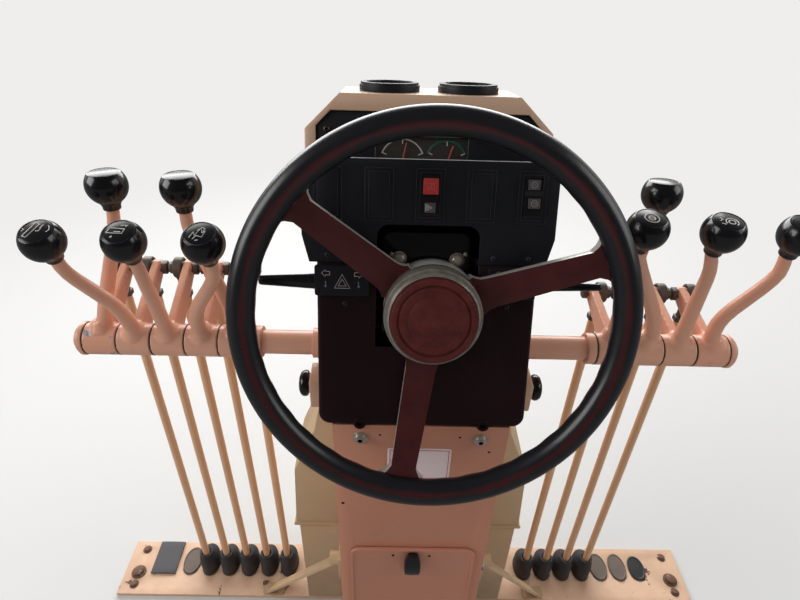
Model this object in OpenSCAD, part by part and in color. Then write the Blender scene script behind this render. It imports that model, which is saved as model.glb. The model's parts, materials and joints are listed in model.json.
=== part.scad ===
// Operator's control console of a motor grader: a floor-standing pedestal with
// a steering wheel, an instrument cowl and two banks of hand levers whose rods
// run down through rubber boots in the floor strip.
// X runs across the cab to the right, Y forward, away from the operator, Z up.
// The origin is the middle of the floor strip's bolt pattern, on its underside.

/* [Floor] */
// Length of the floor strip across the cab
plate_l = 1240; // [1220:10:1400]
// Width of the floor strip, fore and aft
plate_w = 120; // [112:2:140]
// Thickness of the floor strip
plate_t = 8; // [5:1:12]
// Spacing of the strip's bolts across the cab
bolt_dx = 1180; // [1160:10:1200]
// Spacing of the strip's bolts fore and aft
bolt_dy = 80; // [60:5:90]
// Diameter of the floor bolt holes
bolt_hole_d = 14; // [9:1:18]
// Height of a rod boot above the strip
boot_h = 65; // [55:1:75]
// Diameter of a rod boot at its foot
boot_d = 42; // [38:1:43]
// Thickness of the boot's rubber
boot_t = 3; // [2:0.5:4]
// Clearance between a rod and the lip of its boot
boot_gap = 2.6; // [2.4:0.1:3]
// Diameter of the open hole in the strip, and of the plugged ones
hole_d = 34; // [28:1:36]
// Width of the square floor pad
pad_w = 58; // [50:2:62]

/* [Lever banks] */
// Height of the lever shaft above the floor
shaft_z = 747; // [735:1:760]
// Distance of the lever shaft in front of the rods, towards the operator
shaft_back = 102; // [95:1:108]
// Diameter of the lever shaft
shaft_d = 32; // [28:1:34]
// Bore of the hollow lever shaft
shaft_bore = 22; // [10:1:24]
// Diameter of a lever's hub
hub_d = 43; // [40:1:46]
// Distance from one lever to the next along the shaft
hub_pitch = 43.6; // [43.5:0.1:46]
// Distance from the middle of the console to the first hub
bank_start = 226; // [224:1:232]
// Gap between neighbouring hubs
hub_gap = 0.6; // [0.4:0.1:1]
// Running clearance of a hub on the shaft, and of a rod end on its stud
run_gap = 0.05; // [0.02:0.01:0.1]
// Radius of a handle where it leaves the hub
arm_r = 10; // [9:0.5:11]
// Radius of a handle under its knob
arm_tip_r = 6.5; // [6:0.5:7]
// Diameter of a knob
knob_d = 46; // [42:1:49]
// Diameter of a control rod
rod_d = 14; // [12:0.5:15]
// Offset of a rod from the middle of its lever, outboard
rod_offset = 13; // [13:0.5:14]
// Width of the boss at the end of a lever's forward arm
boss_w = 11; // [9:1:11]
// Diameter of the stud that carries the rod end
stud_d = 10; // [8:1:12]

/* [Steering wheel] */
// Outer diameter of the wheel
wheel_d = 430; // [400:5:440]
// Diameter of the rim's section
rim_d = 30; // [26:1:32]
// Distance of the wheel's middle from the rods, towards the operator
wheel_back = 218; // [214:1:226]
// Height of the wheel's middle above the floor
wheel_z = 873; // [868:1:878]
// Angle of the column above horizontal
column_lean = 20; // [19:0.5:21]
// Diameter of the steering column
column_d = 48; // [40:1:52]
// Diameter of the horn pad
horn_d = 97; // [90:1:100]
// Width of a spoke
spoke_w = 30; // [26:1:36]
// Turn of the first spoke from the right, as the operator sees it
spoke_turn = 21; // [0:1:60]

/* [Console] */
// Offset of the console from the wheel's middle, to the operator's right
console_x = -6; // [-8:1:8]
// Width of the pedestal
pedestal_w = 214; // [208:2:220]
// Distance of the pedestal's face from the rods, towards the operator
pedestal_back = 216; // [212:1:217]
// Thickness of the console's sheet metal
sheet_t = 3; // [2:0.5:4]
// Width of the side cheeks that carry the lever shaft
cheek_w = 296; // [290:2:300]
// Width of the shroud over the column
shroud_w = 246; // [240:2:250]
// Width of the switch panel at its widest
panel_w = 278; // [272:2:284]
// Width of the instrument cowl
cowl_w = 286; // [284:2:292]
// Depth of the shroud's face below the wheel's rim
face_drop = 55; // [55:1:58]
// Depth of the shroud and the switch panel, front to back
shroud_t = 60; // [56:1:64]
// Width of the duct behind the pedestal
duct_w = 418; // [400:2:420]
// Width of the access door
door_w = 184; // [170:2:190]
// Height of the access door
door_h = 300; // [260:5:310]

/* [Hidden] */
$fn = 64;
eps = 0.01;
// Clearance of a piece that is fixed in or on another one's hole
fit_gap = 0.05;
// Clearance between bodies that move past each other
move_gap = 0.5;

// Lever shaft, rods and their stations
shaft_y = -shaft_back;
hub_r = hub_d / 2;
shaft_r = shaft_d / 2;
rod_r = rod_d / 2;
stud_r = stud_d / 2;
knob_r = knob_d / 2;
knob_flat = knob_r * 0.66;
// Height of a rod's foot above the strip, inside its boot
rod_lift = 28;
rod_foot_z = plate_t + rod_lift;
rod_end_w = 12;
rod_end_r = 15;
// Distance of the lock nut below the stud, and its thickness
rod_nut = 40;
nut_t = 8;
function hub_x(k) = bank_start + (k + 0.5) * hub_pitch;
function station_x(k) = hub_x(k) + rod_offset;

// Rise of the forward arms above the shaft at the rods' line, left and right bank
left_rise = 49;
right_rise = 23;

// One row a lever. Side is -1 for left, hub counts outboard from the console.
// Lean is the handle's angle forward of upright. A handle passes a low and a
// high knee: out is its shift outboard from the hub, up its distance from the
// shaft, and the last pair is the middle of the knob.
LEVERS = [
    // side, hub, lean, low_out, low_up, high_out, high_up, knob_out, knob_up
    [-1, 4,   4.0,  -7, 35, -50, 168, -52, 212],
    [-1, 3, -18.5,   2, 70,  34, 140,  35, 190],
    [-1, 2, -18.0,  -2, 76,  -6, 145,  -6, 190],
    [-1, 1, -18.0,  -4, 60, -45, 140, -46, 190],
    [-1, 0,   4.0,   2, 40,  39, 167,  39, 211],
    [ 1, 0,   9.0,   3, 40,  15, 150,  22, 212],
    [ 1, 1, -10.5,   3, 35, -55, 158, -61, 202],
    [ 1, 2, -10.5,  -6, 80, -14, 152, -21, 200],
    [ 1, 3, -10.5,  -7, 60,  26, 145,  21, 199]
];
function side(i) = LEVERS[i][0];
function hub(i) = LEVERS[i][1];
function lean(i) = LEVERS[i][2];
function knob_out(i) = LEVERS[i][7];
function knob_up(i) = LEVERS[i][8];
function rise(i) = side(i) < 0 ? left_rise : right_rise;
function lever_x(i) = side(i) * hub_x(hub(i));
function bank(s) = [for (i = [0 : len(LEVERS) - 1]) if (side(i) == s) i];
function bank_end(s) = bank_start + len(bank(s)) * hub_pitch;

// Plugged and open stations of the floor strip, outboard of the rods
PLUGS = [[-1, 5], [1, 4], [1, 5]];
pad_x = -(station_x(5) + hole_d / 2 + 8 + pad_w / 2);
open_hole_x = station_x(6);

// Steering wheel, in its own frame: X right, Y up the slope, Z along the column
rim_r = rim_d / 2;
ring_r = wheel_d / 2 - rim_r;
horn_r = horn_d / 2;
column_r = column_d / 2;
tilt = 90 - column_lean;
face_h = -face_drop;
// Clearance of the turning wheel's hub in the recess
wheel_clear = 6;
dial_h = face_h - shroud_t;
hub_low = -70;
hub_top = -37;
hub_disc_r = horn_r + 5.5;
hub_boss_r = column_r + 2;
hub_wall = 6;
hub_face_t = 5;

// World place of a point of the wheel's frame that lies on the middle plane
function wheel_y(s, h) = -wheel_back + s * cos(tilt) - h * sin(tilt);
function wheel_up(s, h) = wheel_z + s * sin(tilt) + h * cos(tilt);

// Slope distances from the wheel's middle, on the shroud and the cowl
shroud_low = -147.5;
panel_low = 50;
panel_high = 163;
cowl_side_top = 193;
cowl_top = 232.5;
cowl_flat_w = 206;

// Console, in side view
ped_y = -pedestal_back;
duct_y = -plate_w / 2;
shell_z = 690;
shell_back_y = 20;
cheek_top_z = shaft_z + 45;
cheek_back_y = duct_y;
cowl_back_y = 62;
cowl_slope = 10;

// Colours
tan_paint = "#c9a183";
black_plastic = "#1c1d20";
dark_rubber = "#2b3038";
steel = "#9a9a98";

// Frames and simple forms

// A right half outline with its mirror image, as one closed outline
function mirrored(half) = concat(half, [for (k = [len(half) - 1 : -1 : 0]) [-half[k][0], half[k][1]]]);

module in_wheel() translate([0, -wheel_back, wheel_z]) rotate([tilt, 0, 0]) children();

module in_console() translate([console_x, 0, 0]) children();

// Distance of a cheek's outer face from the wheel's middle plane, on side s
function cheek_x(s) = cheek_w / 2 + s * console_x;

module both_sides() {
    children();
    mirror([1, 0, 0]) children();
}

module on_side(s) {
    if (s < 0) mirror([1, 0, 0]) children();
    else children();
}

// Side view outline, as points of Y and Z, drawn out to a width
module side_form(w) rotate([90, 0, 90]) linear_extrude(w, center = true) children();

// Front view outline, as points of X and Z, drawn out from y0 to y1
module front_form(y0, y1) translate([0, y1, 0]) rotate([90, 0, 0]) linear_extrude(y1 - y0) children();

module round_rect(w, h, r) {
    square([w - 2 * r, h], center = true);
    square([w, h - 2 * r], center = true);
    for (x = [-1, 1], y = [-1, 1])
        translate([x * (w / 2 - r), y * (h / 2 - r)]) circle(r);
}

// A pin along X, from x0 to x1
module x_pin(x0, x1, r) translate([x0, 0, 0]) rotate([0, 90, 0]) cylinder(h = x1 - x0, r = r);

// Outline turned about the X axis, as points of radius and X
module x_turn() rotate([0, 90, 0]) rotate_extrude() children();

// Y of a plane parallel to the wheel, where it reaches height z
function plane_y(z, h) = wheel_y((z - wheel_z - h * cos(tilt)) / sin(tilt), h);

// Floor strip and what lies on it

module floor_plate() color("#8f7a66") difference() {
    translate([-plate_l / 2, -plate_w / 2, 0]) cube([plate_l, plate_w, plate_t]);
    for (x = [-1, 1], y = [-1, 1])
        translate([x * bolt_dx / 2, y * bolt_dy / 2, -1]) cylinder(h = plate_t + 2, d = bolt_hole_d);
    for (s = [-1, 1], k = [0 : 5])
        translate([s * station_x(k), 0, -1]) cylinder(h = plate_t + 2, d = hole_d);
    translate([open_hole_x, 0, -1]) cylinder(h = plate_t + 2, d = hole_d);
}

// A bell of rubber, open at its foot and at the lip round the rod
module boot() {
    lip_r = rod_r + boot_gap;
    foot_r = boot_d / 2;
    neck_r = lip_r + boot_t + 1;
    waist_z = boot_h * 0.62;
    rotate_extrude() difference() {
        union() {
            square([foot_r, 7]);
            translate([0, 7]) square([foot_r - 2, waist_z - 7]);
            polygon([[0, waist_z], [foot_r - 2, waist_z], [neck_r, boot_h - 7], [0, boot_h - 7]]);
            translate([0, boot_h - 7]) square([neck_r + 1.5, 7]);
        }
        translate([-1, -1]) square([lip_r + 1, boot_h + 2]);
        translate([-1, -1]) square([foot_r - boot_t, waist_z + 1]);
        polygon([
            [0, waist_z - eps], [foot_r - boot_t - 1, waist_z - eps], [lip_r, boot_h - 10], [0, boot_h - 10]
        ]);
    }
}

module rod_boots() color(dark_rubber)
    for (i = [0 : len(LEVERS) - 1])
        translate([side(i) * station_x(hub(i)), 0, plate_t]) boot();

module hole_plugs() color(dark_rubber)
    for (p = PLUGS) translate([p[0] * station_x(p[1]), 0, plate_t]) {
        cylinder(h = 3, d = hole_d + 7);
        translate([0, 0, -plate_t + 1]) cylinder(h = plate_t, r = hole_d / 2 - fit_gap);
    }

module floor_pad() color("#262a2e")
    translate([pad_x, 0, plate_t]) linear_extrude(6) round_rect(pad_w, plate_w * 0.8, 6);

// Duct behind the pedestal: a lower box and a cover that narrows upwards

duct_lip_z = 270;
duct_shoulder_z = 428;
duct_neck_z = 529;
duct_top_z = wheel_up(shroud_low, dial_h) - 5;

// Right half of the cover's outline, drawn in by g
function cover_half(g) = [
    [duct_w / 2 - g, duct_lip_z], [duct_w / 2 - 9 - g, duct_shoulder_z],
    [duct_w / 2 - 49 - g, duct_neck_z], [cheek_w / 2 - g, duct_top_z - g]
];

module duct_base() color(tan_paint) in_console() {
    half = duct_w / 2 - 6;
    difference() {
        translate([-half, duct_y, plate_t]) cube([2 * half, plate_w, duct_lip_z - plate_t]);
        translate([-half + sheet_t, duct_y + sheet_t, plate_t - 1])
            cube([2 * (half - sheet_t), plate_w - 2 * sheet_t, duct_lip_z - plate_t + 2]);
    }
}

module duct_cover() color(tan_paint) in_console() difference() {
    front_form(duct_y, -duct_y) polygon(mirrored(cover_half(0)));
    front_form(duct_y + sheet_t, -duct_y - sheet_t)
        translate([0, -eps]) polygon(mirrored(cover_half(sheet_t)));
}

// Pedestal with the access opening

door_z = 160;
door_y = ped_y - move_gap;
door_t = 2.5;
door_corner = 16;
hinge_r = 5.5;
hinge_pin_r = 3;
hinge_y = ped_y - hinge_r - 0.7;
hinge_half = 60;
knuckle_half = 40;
// Length of a fixed knuckle, with 1 mm between it and the door's own
fixed_l = hinge_half - knuckle_half - 1;
ped_front_z = wheel_up(shroud_low, face_h) - 1;

function ped_outline(g) = [
    [ped_y + g, g], [duct_y - g, g], [duct_y - g, duct_top_z - g],
    [plane_y(duct_top_z, dial_h) - 1, duct_top_z - g], [ped_y + g, ped_front_z - g]
];

module pedestal() color(tan_paint) in_console() {
    difference() {
        side_form(pedestal_w) polygon(ped_outline(0));
        side_form(pedestal_w - 2 * sheet_t) polygon(ped_outline(sheet_t));
        front_form(ped_y - 1, ped_y + sheet_t + 1)
            translate([0, door_z + door_h / 2]) round_rect(door_w - 18, door_h - 24, door_corner - 6);
    }
    translate([0, hinge_y, door_z]) x_pin(-hinge_half, hinge_half, hinge_pin_r);
    both_sides() translate([hinge_half - fixed_l, hinge_y, door_z]) {
        x_pin(0, fixed_l, hinge_r);
        translate([0, 0, -hinge_r]) cube([fixed_l, ped_y - hinge_y, hinge_r]);
    }
}

module access_door() color(tan_paint) in_console() difference() {
    union() {
        front_form(door_y - door_t, door_y)
            translate([0, door_z + door_h / 2]) round_rect(door_w, door_h - 4, door_corner);
        front_form(door_y - door_t - 2, door_y - door_t) translate([0, door_z + door_h / 2]) difference() {
            round_rect(door_w, door_h - 4, door_corner);
            round_rect(door_w - 8, door_h - 12, door_corner - 4);
        }
        translate([0, hinge_y, door_z]) x_pin(-knuckle_half, knuckle_half, hinge_r);
    }
    translate([0, hinge_y, door_z]) {
        x_pin(-knuckle_half - 1, knuckle_half + 1, hinge_pin_r + run_gap);
        both_sides() x_pin(knuckle_half + 0.5, hinge_half + 0.5, hinge_r + move_gap);
    }
}

latch_w = 28;
latch_h = 59;

module door_latch() color(black_plastic) in_console()
    translate([0, 0, door_z + door_h - 14 - latch_h / 2]) difference() {
        front_form(door_y - door_t - 9, door_y - door_t) round_rect(latch_w, latch_h, 9);
        front_form(door_y - door_t - 10, door_y - door_t - 4) round_rect(latch_w - 12, latch_h * 0.45, 5);
    }

module info_plate() color("#ececec") in_console()
    front_form(ped_y - 1, ped_y) translate([0, 645]) round_rect(80, 60, 3);

// Braces from the pedestal's sides down to the strip

brace_y = -180;
brace_z = 366;
brace_foot_x = 288;
brace_w = 25;
brace_t = 5;
foot_l = 44;
// Plate and bar that hold a brace to the pedestal's side, and its bolt
side_plate_w = 40;
side_plate_h = 52;
side_plate_t = 7;
side_bar_w = 18;
brace_bolt_r = 11;

module side_braces() color(tan_paint) in_console() both_sides() {
    root_x = pedestal_w / 2 + 8;
    foot_y = -plate_w / 2 + brace_w / 2 + 2;
    dx = brace_foot_x - root_x;
    dy = foot_y - brace_y;
    drop = brace_z - plate_t;
    run = norm([dx, dy]);
    difference() {
        translate([root_x, brace_y, brace_z]) rotate([0, 0, atan2(dy, dx)])
            rotate([0, atan2(drop, run), 0])
                translate([0, -brace_w / 2, -brace_t / 2]) cube([norm([run, drop]) + 8, brace_w, brace_t]);
        translate([0, -plate_w, -plate_t - 40]) cube([2 * brace_foot_x, 2 * plate_w, 2 * plate_t + 40]);
        translate([-eps, brace_y - 60, 0]) cube([pedestal_w / 2 + eps, 120, 2 * brace_z]);
    }
    translate([brace_foot_x - 8, foot_y, plate_t]) linear_extrude(4) round_rect(foot_l, brace_w, 5);
    translate([pedestal_w / 2, brace_y - side_plate_w / 2, brace_z - side_plate_h / 2])
        cube([side_plate_t, side_plate_w, side_plate_h]);
    translate([0, brace_y, brace_z]) x_pin(pedestal_w / 2, root_x + 14, brace_bolt_r);
    translate([pedestal_w / 2, brace_y - side_bar_w / 2, 0])
        cube([brace_t, side_bar_w, brace_z - side_plate_h / 2 + 1]);
}

// Console: core behind the shroud, cheeks that carry the lever shaft

core_top_z = wheel_up(panel_low, dial_h);

function core_outline(g, top, back) = [
    [plane_y(duct_top_z + g, dial_h - g), duct_top_z + g],
    [plane_y(top - g, dial_h - g), top - g],
    [back - g, top - g], [back - g, duct_top_z + g]
];

module console_shell() color(tan_paint) in_console() difference() {
    union() {
        side_form(shroud_w) polygon(core_outline(0, core_top_z, shell_back_y));
        side_form(cheek_w) polygon(core_outline(0, cheek_top_z, cheek_back_y));
    }
    side_form(shroud_w - 2 * sheet_t) polygon(core_outline(sheet_t, core_top_z, shell_back_y));
    side_form(cheek_w - 2 * sheet_t) polygon(core_outline(sheet_t, cheek_top_z, cheek_back_y));
    translate([0, shaft_y, shaft_z]) x_pin(-cheek_w, cheek_w, shaft_r + fit_gap);
}

// Cowl over the instruments, its front on the instrument plane

cowl_front_y = wheel_y(cowl_top, dial_h);
cowl_front_z = wheel_up(cowl_top, dial_h);

module on_cowl_top() translate([0, cowl_front_y, cowl_front_z]) rotate([-cowl_slope, 0, 0]) children();

module cowl_form(g) {
    top_z = cowl_front_z - g;
    half = cowl_w / 2 - g;
    shoulder = (cowl_top - cowl_side_top) * cos(cowl_slope);
    intersection() {
        side_form(cowl_w) polygon([
            [plane_y(core_top_z + g, dial_h - g), core_top_z + g],
            [plane_y(top_z + 20, dial_h - g), top_z + 20],
            [cowl_back_y - g, top_z + 20], [cowl_back_y - g, core_top_z + g]
        ]);
        on_cowl_top() front_form(-200, 300) polygon([
            [-half, -300], [half, -300], [half, -shoulder - g], [cowl_flat_w / 2 - g, -g],
            [-cowl_flat_w / 2 + g, -g], [-half, -shoulder - g]
        ]);
    }
}

bezel_edge = 12.5;
bezel_top = 19;
bezel_corner = 17;
bezel_low = 150;
bezel_t = 5;

// Instrument opening, drawn in by g
module bezel_outline(g) {
    half = cowl_w / 2 - bezel_edge - g;
    high = cowl_top - bezel_top - g;
    polygon(mirrored([[half, bezel_low + g], [half, high - bezel_corner], [half - bezel_corner, high]]));
}

vent_x = 47;
vent_y = 45;
vent_r = 36;
vent_h = 10;

module cowl() color(tan_paint) in_console() difference() {
    cowl_form(0);
    cowl_form(sheet_t);
    in_wheel() translate([0, 0, dial_h - sheet_t - 1]) linear_extrude(sheet_t + 2) bezel_outline(0);
    on_cowl_top() for (s = [-1, 1]) translate([s * vent_x, vent_y, -sheet_t - 3])
        cylinder(h = sheet_t + 6, r = vent_r - 8);
}

// One round air vent: a ring with slats across it
module vent() {
    rotate_extrude() {
        translate([vent_r - 8, 0]) square([8, vent_h - 3]);
        translate([vent_r - 8, vent_h - 3]) square([6.5, 3]);
    }
    intersection() {
        for (k = [-2 : 2]) translate([-vent_r, k * 11 - 1, 0]) cube([2 * vent_r, 2, vent_h - 3]);
        cylinder(h = vent_h, r = vent_r - 7);
    }
}

module air_vents() color(black_plastic) in_console() on_cowl_top()
    for (s = [-1, 1]) translate([s * vent_x, vent_y, 0]) vent();

// Instruments

window_x0 = -62;
window_x1 = 46;
window_low = 158;
window_high = 187;
// One row a dial: X of its middle, angle of its needle
DIALS = [[-30, 78], [23, 72]];
dial_r = 24;
dial_s = 160;

module window(g) {
    translate([(window_x0 + window_x1) / 2, (window_low + window_high) / 2])
        round_rect(window_x1 - window_x0 - 2 * g, window_high - window_low - 2 * g, 5 - g);
}

module gauge_bezel() color(black_plastic) in_console() in_wheel()
    translate([0, 0, dial_h - sheet_t - bezel_t]) linear_extrude(bezel_t) difference() {
        bezel_outline(-1);
        window(0);
    }

module gauge_dials() color("#3a352e") in_console() in_wheel() {
    back_h = dial_h - sheet_t - bezel_t;
    translate([0, 0, back_h - 2]) linear_extrude(2) window(-4);
    for (d = DIALS) {
        intersection() {
            translate([d[0], dial_s, back_h]) cylinder(h = 1, r = dial_r);
            translate([0, 0, back_h]) linear_extrude(1) window(1);
        }
        translate([d[0], dial_s, back_h + 1]) rotate([0, 0, d[1]]) cube([dial_r - 3, 1.4, 0.8]);
    }
}

module gauge_glass() color("#c8d4d4") in_console() in_wheel()
    translate([0, 0, dial_h - sheet_t - 1.5]) linear_extrude(1.5) window(fit_gap);

// Switch panel and shroud, hollow behind their faces

panel_wall = 3;
recess_half = 56.5;
recess_high = 93;
recess_low = -48;
switch_pitch = 55;
switch_s = 125.5;
slot_w = 23;
slot_h = 50;

function panel_half(g) = [
    [panel_w / 2 - 8 - g, panel_low + g], [panel_w / 2 - g, panel_low + 30],
    [panel_w / 2 - g, panel_high - 22], [panel_w / 2 - 7 - g, panel_high - g]
];

// The recess round the column, in the shroud and the panel, and the hub's room in it
module recess_outline() {
    translate([-console_x, 0]) circle(hub_disc_r + wheel_clear);
    translate([-recess_half, recess_low]) square([recess_half, recess_high - 14 - recess_low]);
    square([recess_half, recess_high - 14]);
    translate([-recess_half + 14, 0]) square([2 * (recess_half - 14), recess_high]);
    for (s = [-1, 1]) translate([s * (recess_half - 14), recess_high - 14]) circle(14);
}

module switch_panel() color(black_plastic) in_console() in_wheel() difference() {
    translate([0, 0, dial_h]) linear_extrude(shroud_t) polygon(mirrored(panel_half(0)));
    translate([0, 0, dial_h - 1]) linear_extrude(shroud_t - panel_wall + 1)
        polygon(mirrored(panel_half(panel_wall)));
    translate([0, 0, dial_h + 30]) linear_extrude(shroud_t) recess_outline();
    for (k = [-2 : 2]) translate([k * switch_pitch, switch_s, face_h - panel_wall - 1])
        linear_extrude(panel_wall + 2) square([slot_w, slot_h], center = true);
}

module shroud_outline(g) {
    high = panel_low - g;
    low = shroud_low + g;
    half = shroud_w / 2 - g;
    corner = 14;
    translate([-half, low + corner]) square([2 * half, high - low - corner]);
    translate([-half + corner, low]) square([2 * (half - corner), 2 * corner]);
    for (s = [-1, 1]) translate([s * (half - corner), low + corner]) circle(corner);
}

module shroud() color(black_plastic) in_console() in_wheel() difference() {
    translate([0, 0, dial_h]) linear_extrude(shroud_t) shroud_outline(0);
    translate([0, 0, dial_h - 1]) linear_extrude(shroud_t - panel_wall + 1) shroud_outline(panel_wall);
    translate([0, 0, dial_h + 30]) linear_extrude(shroud_t) recess_outline();
}

// Rockers and blanks, each with a collar behind the panel's face
module switch_rockers() color("#15161a") in_console() in_wheel()
    for (k = [-2 : 2]) translate([k * switch_pitch, switch_s, 0]) {
        live = k == 0 || k == 2;
        top_h = live ? 5 : 1.5;
        translate([0, 0, face_h]) linear_extrude(1) difference() {
            round_rect(slot_w + 7, slot_h + 5, 2);
            square([slot_w - 4, slot_h - 4], center = true);
        }
        translate([0, 0, face_h - 18]) linear_extrude(18 + top_h)
            square([slot_w - 4 - 2 * fit_gap, slot_h - 4 - 2 * fit_gap], center = true);
    }

// Column, its bracket and the boxes with the stalks

bracket_h = face_h - 26;
box_x = 94.5;
box_s = 30;
box_t = 4;
left_reach = 189;
right_reach = 198;

module column_bracket() color(black_plastic) in_wheel() difference() {
    translate([console_x, 0, 0]) {
        translate([0, 13, bracket_h - 4]) linear_extrude(4) round_rect(102, 138, 12);
        for (s = [-1, 1]) translate([s * 42 - 4, -35, dial_h]) cube([8, 60, bracket_h - dial_h - 4 + eps]);
    }
    translate([0, 0, dial_h - 1]) cylinder(h = shroud_t, r = column_r + fit_gap);
}

spindle_r = 9;

module steering_column() color(steel) in_wheel() {
    translate([0, 0, dial_h]) cylinder(h = hub_low - 3 - dial_h, r = column_r);
    translate([0, 0, dial_h]) cylinder(h = hub_top - 4 - dial_h, r = spindle_r);
}

module signal_boxes() color(black_plastic) in_console() in_wheel() translate([0, 0, face_h]) {
    translate([-box_x, box_s, 0]) linear_extrude(box_t) round_rect(61, 35, 3);
    translate([box_x, box_s, 0]) linear_extrude(box_t) round_rect(54, 36, 3);
}

module stalk(reach) {
    root = shroud_w / 2;
    linear_extrude(8) polygon([
        [root, -9], [reach - 6, -4], [reach, -2.5], [reach, 2.5], [reach - 6, 4], [root, 9]
    ]);
}

module stalks() color(black_plastic) in_console() in_wheel() translate([0, box_s - 3, face_h - 9]) {
    mirror([1, 0, 0]) stalk(left_reach);
    stalk(right_reach);
}

// Lever shaft with its collars, end caps and the knobs on the cheeks

cap_t = 13;

module lever_shaft() color(tan_paint) translate([0, shaft_y, shaft_z]) difference() {
    x_pin(-bank_end(-1) - 6, bank_end(1) + 6, shaft_r);
    x_pin(-bank_end(-1) - 7, bank_end(1) + 7, shaft_bore / 2);
}

module shaft_collars() color(tan_paint) translate([0, shaft_y, shaft_z])
    for (s = [-1, 1]) on_side(s) {
        difference() {
            x_pin(cheek_x(s), cheek_x(s) + 13, shaft_r + 4);
            x_pin(cheek_x(s) - 1, cheek_x(s) + 14, shaft_r + fit_gap);
        }
        difference() {
            x_pin(bank_start - 12, bank_start - hub_gap, shaft_r + 5);
            x_pin(bank_start - 13, bank_start, shaft_r + fit_gap);
        }
        translate([bank_end(s), 0, 0]) x_turn() difference() {
            union() {
                translate([0, hub_gap]) square([hub_r + 1, 6]);
                translate([0, 6]) square([hub_r - 2, 4]);
                translate([0, 9]) square([hub_r - 6, 4]);
            }
            translate([-1, -1]) square([shaft_r + fit_gap + 1, 7]);
        }
    }

module clamp_knobs() color(black_plastic) in_console() both_sides()
    translate([cheek_w / 2, -130, 700]) x_turn() {
        square([8, 3]);
        translate([0, 3]) square([13.5, 6]);
        translate([0, 9]) square([11, 2.5]);
        translate([0, 11]) square([7, 2]);
    }

module dome(r) {
    cylinder(h = r * 0.35, r = r);
    translate([0, 0, r * 0.35]) cylinder(h = r * 0.45, r1 = r * 0.85, r2 = r * 0.45);
}

module fasteners() color(steel) in_console() {
    for (s = [-1, 1]) {
        translate([s * 73.5, ped_y, 693]) rotate([90, 0, 0]) dome(8);
        in_wheel() {
            translate([s * 118, 193, dial_h - sheet_t]) dome(4.5);
            translate([s * 34.5, 51, bracket_h]) dome(7);
            translate([s * 111, 58.5, face_h]) dome(3);
            translate([s * 72, 58.5, face_h]) dome(3);
            translate([s * 91.5, 3, face_h]) dome(3);
        }
    }
}

// Steering wheel

module wheel_rim() color("#17181a") in_wheel() rotate_extrude() translate([ring_r, 0]) circle(rim_r);

// Half width of a spoke at a distance from the middle, with its fillets into
// the hub and the rim
spoke_root = 54;
rim_fillet = 12;
spoke_end = ring_r - rim_r;
function spoke_half(d) = let (f = min(max(0, d - spoke_end + rim_fillet), rim_fillet))
    spoke_w / 2 + 2.5 - 4 * (d - spoke_root) / (spoke_end - spoke_root)
    + rim_fillet - sqrt(rim_fillet * rim_fillet - f * f)
    + 5 * pow(max(0, spoke_root + 12 - d) / 12, 2);

spoke_t = 12;
spoke_steps = 20;
spoke_reach = ring_r - 4;

// Distances along a spoke, closest together at its ends
function spoke_d(k) =
    spoke_root + (spoke_reach - spoke_root) * (1 - cos(180 * k / spoke_steps)) / 2;

module spoke() {
    edge = [for (k = [0 : spoke_steps]) [spoke_d(k), spoke_half(spoke_d(k))]];
    inner = spoke_root - 20;
    intersection() {
        translate([0, 0, -90]) linear_extrude(100) polygon(concat(
            [[inner, -spoke_w / 2], [inner, spoke_w / 2]], edge,
            [for (k = [spoke_steps : -1 : 0]) [edge[k][0], -edge[k][1]]]
        ));
        rotate([90, 0, 0]) linear_extrude(120, center = true) polygon([
            [inner, hub_low + 8], [hub_disc_r - 2, hub_low + 8], [hub_disc_r + 1, hub_top - 13],
            [spoke_root + 8, hub_top - 9], [spoke_reach, -spoke_t],
            [spoke_reach, 0], [spoke_root - 2, hub_top - 1], [inner, hub_top - 1]
        ]);
    }
}

module wheel_spokes() color("#4a2320") in_wheel() difference() {
    union() {
        for (k = [0 : 2]) rotate([0, 0, spoke_turn + 120 * k]) spoke();
        translate([0, 0, hub_low]) cylinder(h = hub_top - hub_low, r = hub_disc_r);
    }
    rotate_extrude() {
        translate([ring_r, 0]) circle(rim_r + fit_gap);
        translate([0, hub_low - 1]) square([spindle_r + run_gap, hub_top - 4 - hub_low + 1.5]);
        translate([hub_boss_r, hub_low - 1])
            square([hub_disc_r - hub_wall - hub_boss_r, hub_top - hub_face_t - hub_low + 1]);
    }
}

// Horn pad: a flat ring, a groove and a crowned middle
module horn_pad() color("#55282a") in_wheel() translate([0, 0, hub_top]) rotate_extrude() polygon([
    [0, 0], [horn_r, 0], [horn_r, 4], [horn_r - 2, 6], [horn_r - 7, 6.5], [horn_r - 9, 4.5],
    [horn_r - 12, 5.5], [horn_r / 2, 7.5], [0, 8]
]);

// Levers: a hub on the shaft, a bent handle up and an arm forward to the stud

module at_lever(i) translate([lever_x(i), shaft_y, shaft_z]) on_side(side(i)) children();

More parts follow.
